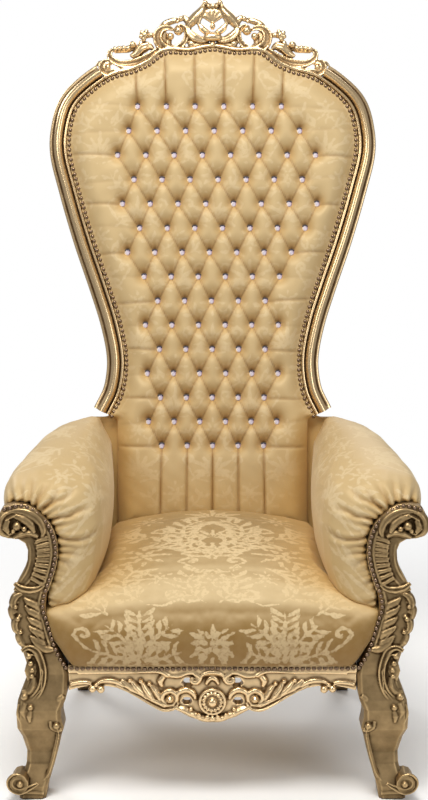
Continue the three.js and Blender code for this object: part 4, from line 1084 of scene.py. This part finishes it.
# Front legs
# Each front leg is one piece: a carved knee beside the seat, a cabriole shin, and a scrolled toe on a
# small block. The carving of the knee is an outer column of leaves, slanting flutes and a C cartouche.
front_leg = [
    # outer column of leaves
    stroke("leaf3", [(420, 474), (434, 466), (440, 450), (436, 432)], [5, 10, 10, 4], -1),
    stroke("leaf", [(438, 452), (444, 436), (440, 418), (431, 408)], [5, 9, 8, 4], -3),
    stroke("leaf3", [(424, 424), (436, 408), (434, 390), (424, 380)], [5, 10, 9, 4], -1),
    stroke("leaf", [(424, 392), (430, 376), (424, 360), (414, 350)], [4, 8, 8, 4], -2),
    bead(430, 416, 6, 4), bead(424, 386, 5, 4), bead(426, 362, 5, 2),
    bead(434, 444, 5, 5),
    # plain strip beside the nails
    stroke("round", [(x + 9, y) for x, y in ARM_NAILS[9:15]], [2, 3, 3, 3, 3, 2], 0.5),
    # spur at the foot of the strip
    stroke("vein", [(400, 372), (386, 356), (368, 346), (352, 346)], [4, 8, 9, 5], 2),
    # C cartouche with its beads
    stroke("channel", [(424, 342), (408, 350), (390, 342), (379, 316), (376, 288), (382, 258), (395, 238),
                       (412, 229), (428, 234)], [4, 6, 8, 8, 8, 8, 8, 6, 4], 2),
    stroke("leaf", [(424, 246), (408, 248), (399, 262), (397, 282)], [5, 9, 9, 5], 3),
    bead(407, 330, 6.5, 4), bead(403, 314, 6.5, 4), bead(400, 298, 6, 4),
    bead(401, 284, 5.5, 4), bead(418, 238, 8.5, 8),
    # drop under it
    bead(405, 214, 7, 11), stroke("vein", [(416, 222), (423, 204), (417, 186)], [5, 7, 2], 7),
    stroke("vein", [(405, 206), (408, 192), (407, 178)], [4, 6, 2], 9),
    stroke("round", [(428, 176), (434, 196), (432, 220)], [2, 4, 2], 5),
    # inner notch with its small volute
    stroke("vein", [(332, 240), (342, 230), (346, 212)], [6, 8, 4], 3),
    bead(348, 170, 8, 8), stroke("round", [(336, 162), (346, 160), (358, 166), (362, 180)], [4, 5, 5, 3], 7),
    # bead down the inner edge that wraps under the toe
    stroke("round", [(344, 160), (346, 140), (352, 112), (360, 82), (371, 52), (387, 34), (409, 26), (430, 24)],
           [4, 5, 5, 5, 5, 5.5, 5.5, 4], 1),
    # scroll of the toe
    stroke("channel", [(388, 44), (408, 33), (430, 25), (448, 33), (452, 48), (441, 60), (425, 58), (418, 47),
                       (427, 39)], [3, 6, 8, 8, 8, 7, 6, 5, 4], 28),
    bead(429, 43, 7.5, 33),
    stroke("round", [(378, 14), (406, 16), (434, 14)], [4, 5, 4], 12),
]
for k in range(5):
    drop = 22 * k
    front_leg.append(stroke("vein", [(416 - 3 * k, 464 - drop), (406 - 4 * k, 455 - drop), (392 - 4 * k, 447 - drop),
                                     (384 - 3.4 * k, 434 - drop)], [2.5, 8, 8.5, 2.5], 1))

leg_gilding = gilding("leg_gilding", (0.62, 0.435, 0.215, 1), (0.055, 0.030, 0.011, 1), reach=0.02, edge_highlight=0.62)
for side, word in ((1, "right"), (-1, "left")):
    for parts, node in ((arm_front, "arm_front_"), (front_leg, "front_leg_")):
        own = parts if side == 1 else both_sides(parts)[len(parts):]
        own = raised(own, lift=KNEE_FACE)
        piece = carved(own, node + word + "_carving", stand_up, 1.6, [solid_copy(node + word)], 0.42)
        finished(piece, leg_gilding, "gilt_wood", node + word, angle=180)

arm_nail_places, _ = evenly(arm_nail_line, NAIL_PITCH)
for side, word in ((1, "right"), (-1, "left")):
    places = np.c_[arm_nail_places * (side, 1), np.full(len(arm_nail_places), KNEE_FACE)]
    arm_nails = repeated(nail, "arm_nails_" + word, places)
    stand_up(arm_nails)
    finished(arm_nails, bronze, "bronze_nails", "nail_trim_arm_" + word)

# Front rail
# The rail under the seat is carved and pierced: a beaded rosette between four openings, volutes, and
# slanting acanthus leaves that run out to the legs.
ROSETTE_LEVEL = 224
APRON_FACE = 4

half_apron = [
    # lower bead with its two balls
    stroke("round", [(318, 262), (300, 266), (284, 267), (270, 264)], [4.5, 5, 5, 4.5], 1),
    bead(268, 252, 8.5, 3), bead(249, 251, 9, 3), bead(259, 262, 5, 5),
    stroke("round", [(258, 264), (244, 270), (228, 271), (212, 267), (198, 258)], [4, 5.5, 6, 6, 4], 1),
    # rolled lower edge that runs into the volute
    stroke("channel", [(214, 262), (186, 249), (160, 236), (134, 221), (108, 209), (88, 210), (78, 221)],
           [4, 6, 8, 9, 10, 8, 5], 1),
    stroke("round", [(80, 222), (80, 238), (92, 247), (106, 244), (112, 230), (104, 219)], [4, 6, 6, 6, 5, 4],
           3),
    bead(95, 229, 9, 6), bead(95, 229, 3, 15),
    # slanting acanthus leaves
    stroke("leaf", [(114, 218), (122, 236), (130, 250), (140, 262)], [4, 8, 8, 3], 1),
    stroke("leaf", [(126, 220), (140, 237), (150, 251), (158, 268)], [4, 9, 8, 4], 1),
    stroke("leaf", [(144, 229), (158, 243), (170, 255), (182, 271)], [4, 8, 8, 4], 1),
    stroke("vein", [(166, 241), (180, 252), (192, 262), (202, 272)], [4, 7, 6, 3], 1),
    bead(160, 270, 5.5, 3), bead(184, 272, 5, 3), bead(141, 264, 5, 3),
    # thin upper bead, its scroll end, and the band over the openings
    stroke("round", [(300, 288), (230, 291), (180, 291), (130, 294), (110, 291), (98, 283)], [2, 3, 3, 4, 5, 6],
           6),
    stroke("vein", [(108, 282), (116, 270), (112, 256)], [6, 7, 3], 2),
    stroke("round", [(98, 284), (76, 283), (54, 290), (36, 290)], [5, 6, 5, 5], 4),
    # C scroll beside the rosette, and the curls of the crown over it
    stroke("round", [(82, 234), (72, 246), (56, 250), (43, 242), (37, 228)], [4, 6.5, 7, 6, 4], 3),
    stroke("round", [(40, 288), (28, 280), (34, 268), (46, 270), (46, 280)], [5, 6, 6, 5, 4], 5),
    # leaves and beads under the rosette
    stroke("leaf", [(86, 209), (66, 203), (48, 194), (34, 185)], [4, 8, 9, 5], 1),
    stroke("leaf", [(44, 196), (28, 186), (14, 182), (0, 182)], [4, 8, 8, 8], 2),
    bead(48, 206, 5, 6), bead(30, 193, 5, 7), bead(12, 188, 5, 8),
]
apron = both_sides(half_apron) + [
    stroke("leaf", [(-30, 280), (-16, 289), (0, 292), (16, 289), (30, 280)], [4, 7, 8, 7, 4], 5),
    stroke("vein", [(-14, 262), (-8, 274), (0, 278), (8, 274), (14, 262)], [3, 5, 6, 5, 3], 4),
    bead(0, ROSETTE_LEVEL, 11.5, 10), bead(0, 184, 6.5, 7),
]
ring = [(28 * cos(k * pi / 12), ROSETTE_LEVEL + 28 * sin(k * pi / 12)) for k in range(25)]
apron.append(stroke("round", ring, [3.2, 3.2], 9))
for k in range(15):
    turn = 2 * pi * k / 15
    apron.append(bead(20 * cos(turn), ROSETTE_LEVEL + 20 * sin(turn), 3.4, 12))
apron = raised(apron, lift=APRON_FACE)
front_rail = carved(apron, "front_rail_carving", stand_up, 1.8, [solid_copy("front_apron")])
finished(front_rail, carved_gilding, "gilt_wood", "front_apron", angle=180)

# Seat and arms
# The seat is sprung and stuffed under a tight cover, crowned in the middle and rounded over its front
# edge. The arms roll outwards and are gathered in pleats towards the nails of their fronts.
SEAT_VOXEL = 6.6
ARM_VOXEL = 7.4
PLEATS = [
    ([(372, 660), (356, 673), (341, 698)], 5), ([(374, 662), (348, 676), (324, 684), (309, 696)], 4.5),
    ([(356, 635), (338, 641), (315, 644), (297, 653), (276, 657)], 6), ([(354, 622), (330, 626), (306, 634)], 3),
    ([(345, 598), (318, 592), (290, 590), (271, 594), (259, 602)], 6), ([(342, 577), (317, 577), (298, 571)], 4),
    ([(340, 563), (314, 561), (296, 556)], 4), ([(340, 548), (322, 540), (314, 524)], 3),
    ([(387, 668), (384, 682), (367, 707)], 5), ([(403, 672), (402, 692), (398, 715)], 4),
    ([(418, 676), (420, 692), (424, 706)], 3), ([(438, 672), (442, 688), (450, 700)], 3),
    ([(364, 455), (345, 448), (330, 446)], 4), ([(358, 500), (344, 492), (336, 478)], 3),
]


seat = softened(solid_copy("seat_cushion"), SEAT_VOXEL, 12)
seat.name = "seat_upholstery"
places = points_of(seat) / MM
low = np.clip((335 - places[:, 2]) / 20, 0, 1)
rear = np.clip((places[:, 1] - 60) / 60, 0, 1)
swell(seat, np.maximum(low, rear), 4, 0.006)
refined(seat)
lightened(seat, lambda places, normals: (normals[:, 2] < -0.6) | (places[:, 1] > 200))
places = points_of(seat) / MM
front = np.clip((-240 - places[:, 1]) / 80, 0, 1)
low = np.clip((350 - places[:, 2]) / 45, 0, 1)
inner_edge = arm_nail_line[arm_nail_line[:, 1] < 560][::-1]
room = np.interp(places[:, 2], inner_edge[:, 1], inner_edge[:, 0]) - 6
side_share = np.clip(np.abs(places[:, 0]) / 332, 0, 1.02) ** 3
places[:, 0] *= 1 + front * side_share * (room / 335 - 1)
places[:, 1] += front * (26 * np.clip((places[:, 2] - 385) / 135, 0, 1) ** 1.8 - 5 * low)
places[:, 2] -= 9 * front * low
move_to(seat, places * MM)
half_seat = (
    leaves([(161, -96), (160, -40), (161, 34)], 50, 6) + leaves([(161, -96), (190, -52), (236, -8)], 46, 5)
    + leaves([(161, -96), (132, -52), (86, -8)], 46, 5) + leaves([(163, -98), (206, -84), (262, -70)], 40, 5)
    + leaves([(159, -98), (118, -86), (70, -72)], 34, 4) + tendril(286, -32, 22, 1, [(262, -70), (284, -60)])
    + leaves([(232, 24), (268, 60), (286, 120), (262, 176)], 64, 6)
    + leaves([(158, 66), (192, 108), (196, 170), (166, 224)], 66, 6) + tendril(86, 84, 30, -1, [(146, 56), (112, 50)])
    + leaves([(16, 60), (46, 100), (54, 150), (34, 206)], 56, 6) + flower(236, 226, 58) + flower(118, 160, 42)
    + tendril(50, 248, 26, 1, [(10, 204), (30, 198)]) + leaves([(6, 262), (30, 316), (76, 362), (146, 392)], 70, 7)
    + flower(158, 296, 70) + leaves([(24, 366), (66, 420), (66, 500), (20, 560)], 72, 8)
    + tendril(112, 470, 32, 1, [(60, 430), (86, 436)]) + leaves([(150, 424), (200, 452), (214, 520)], 62, 5)
    + flower(156, 590, 54) + tendril(222, 366, 25, 1, [(184, 342), (204, 334)])
)
seat_strokes = mirrored(half_seat) + flower(0, -54, 50) + fan(0, -70, 66, 7, 4.4) + flower(0, 140, 42)
seat_strokes += fan(0, 296, 80, 7, 2.6) + fan(0, 404, 72, 7, 2.4) + fan(0, 590, 90, 9, 3.0)
cloth_run = np.c_[places[:, 0], places[:, 1] + places[:, 2]]
kept(seat, "figure", figure_share(cloth_run, seat_strokes, 4.5))
normals = np.array([v.normal for v in seat.data.vertices])
rise = np.degrees(np.arctan2(normals[:, 2], -normals[:, 1]))
# painted shade: the lower part of the seat's front is painted darker toward the fold colour
kept(seat, "crease", 0.4 * np.clip(-places[:, 1] / 60 - 5, 0, 1) * np.clip((450 - places[:, 2]) / 110, 0, 1))
# painted sheen: the front roll, facing up and forward at about 58 degrees, and all upward-facing parts are painted
# paler
front_roll_sheen = 0.80 * np.clip(-places[:, 1] / 80 - 1.5, 0, 1) * np.exp(-((rise - 58) / 26) ** 2)
kept(seat, "painted_light", np.maximum(front_roll_sheen, 0.30 * np.clip(rise / 45, 0, 1)))
seat_damask = damask("seat_damask", (0.64, 0.495, 0.28, 1), (0.235, 0.135, 0.033, 1))
finished(seat, seat_damask, "damask", "seat_cushion", angle=180)

arm_damask = damask("arm_damask", (0.58, 0.45, 0.26, 1), (0.50, 0.36, 0.175, 1))
nail_run = evenly(arm_nail_line, 4)[0]
for side, word in ((1, "right"), (-1, "left")):
    arm = softened(solid_copy("arm_" + word), ARM_VOXEL, 6)
    arm.name = "arm_upholstery_" + word
    places = points_of(arm) / MM
    ends = np.maximum(np.clip((places[:, 1] - 110) / 60, 0, 1), np.clip((-278 - places[:, 1]) / 22, 0, 1))
    swell(arm, np.maximum(ends, np.clip((470 - places[:, 2]) / 40, 0, 1)), 4, 0.008)
    refined(arm)
    lightened(arm, lambda places, normals: (normals[:, 2] < -0.7)
              | ((side * normals[:, 0] < -0.5) & (places[:, 2] < 480)))
    places = points_of(arm) / MM
    normals = np.array([v.normal for v in arm.data.vertices])
    face = np.abs(places[:, ::2] * (side, 1))
    front = np.clip((-175 - places[:, 1]) / 70, 0, 1) * np.clip(0.5 - normals[:, 1], 0, 1)
    sunk, shade = np.zeros(len(places)), np.zeros(len(places))
    near = np.flatnonzero(front > 0.01)
    for line, deep in PLEATS:
        line = evenly(through(line), 3)[0]
        gap = np.linalg.norm(face[near, None] - line, axis=2)
        at = gap.argmin(1) / (len(line) - 1)
        gap = gap.min(1)
        wide = 4.2 + 2.5 * at
        crease = np.exp(-(gap / wide) ** 2) - 0.45 * np.exp(-((gap - 2.1 * wide) / wide) ** 2)
        sunk[near] += 1.15 * deep * (1 - 0.75 * at**2) * crease
        shade[near] = np.maximum(shade[near], deep / 6 * (1 - 0.7 * at) * np.exp(-(gap / (0.55 * wide)) ** 2))
    gap = np.linalg.norm(face[near, None] - nail_run, axis=2)
    along, gap = gap.argmin(1) * 4, gap.min(1)
    gather = np.sin(along / 2.4 + np.sin(along / 9)) * np.exp(-gap / 20)
    sunk[near] += 1.7 * gather
    shade[near] = np.maximum(shade[near], 0.5 * gather)
    places -= normals * (front * sunk)[:, None]
    move_to(arm, places * MM)
    kept(arm, "crease", front * shade)
    kept(arm, "figure", sprigs(np.c_[places[:, 1], 0.9 * np.abs(places[:, 0]) + places[:, 2]], 215, 185))
    finished(arm, arm_damask, "damask", "arm_" + word, angle=180)

seat_nail_line = through([(x, y) for x, y in (
    (-326, 303), (-300, 301), (-273, 302), (-160, 300), (-80, 300), (0, 302), (80, 300), (160, 300), (273, 302),
    (300, 301), (326, 303),
)])
seat_nail_places, _ = evenly(seat_nail_line, NAIL_PITCH)
seat_nails = repeated(nail, "seat_nails", np.c_[seat_nail_places, np.full(len(seat_nail_places), KNEE_FACE)])
stand_up(seat_nails)
finished(seat_nails, bronze, "bronze_nails", "nail_trim_seat")

# Plain rails and rear legs
# The side and back rails and the raked rear legs are plain wood, gilded like the front, with their
# edges eased by hand.
for node in ("side_rail_right", "side_rail_left", "rear_leg_right", "rear_leg_left", "back_rail"):
    wood = softened(solid_copy(node), 4.4, 3)
    wood.name = node + "_eased"
    finished(wood, leg_gilding, "gilt_wood", node, angle=180)

# Outside back
# The back of the throne is covered too: a flat padded panel inside the stiles, with a row of nails along
# the stiles and down both sides of its foot.
PANEL_BACK = -54
PANEL_CROWN = 6
PANEL_NAILS = [(332, 352), (332, 690), (262, 742), (244, 790)]

panel = softened(solid_copy("back_panel"), 8, 5)
panel.name = "outside_back"
lightened(panel, lambda places, normals: normals[:, 1] < -0.6)
panel.data.transform(back_board.inverted())
places = points_of(panel)
from_edge = np.minimum(reach_to(places[:, :2], nail_line[:-1:4], nail_line[1::4]).min(1), places[:, 1] - 310)
rear = np.clip((PANEL_BACK + 12 - places[:, 2]) / 12, 0, 1)
places[:, 2] -= PANEL_CROWN * rear * np.sin(np.clip(from_edge / 70, 0, 1) * pi / 2)
move_to(panel, places)
lean_back(panel)
places = points_of(panel) / MM
kept(panel, "figure", sprigs(places[:, ::2]))
finished(panel, back_damask, "damask", "back_panel", angle=180)

nail.data.transform(Matrix.Rotation(pi, 4, "X"))
upper_nails = evenly(beside(nail_line, -4), NAIL_PITCH)[0]
foot_nails = evenly(np.array(PANEL_NAILS, float), NAIL_PITCH)[0]
rear_nails = np.vstack([foot_nails, upper_nails, foot_nails * (-1, 1)])
outside_nails = repeated(nail, "outside_nails", np.c_[rear_nails, np.full(len(rear_nails), PANEL_BACK - 0.5)])
lean_back(outside_nails)
finished(outside_nails, bronze, "bronze_nails")

bpy.data.objects.remove(nail)
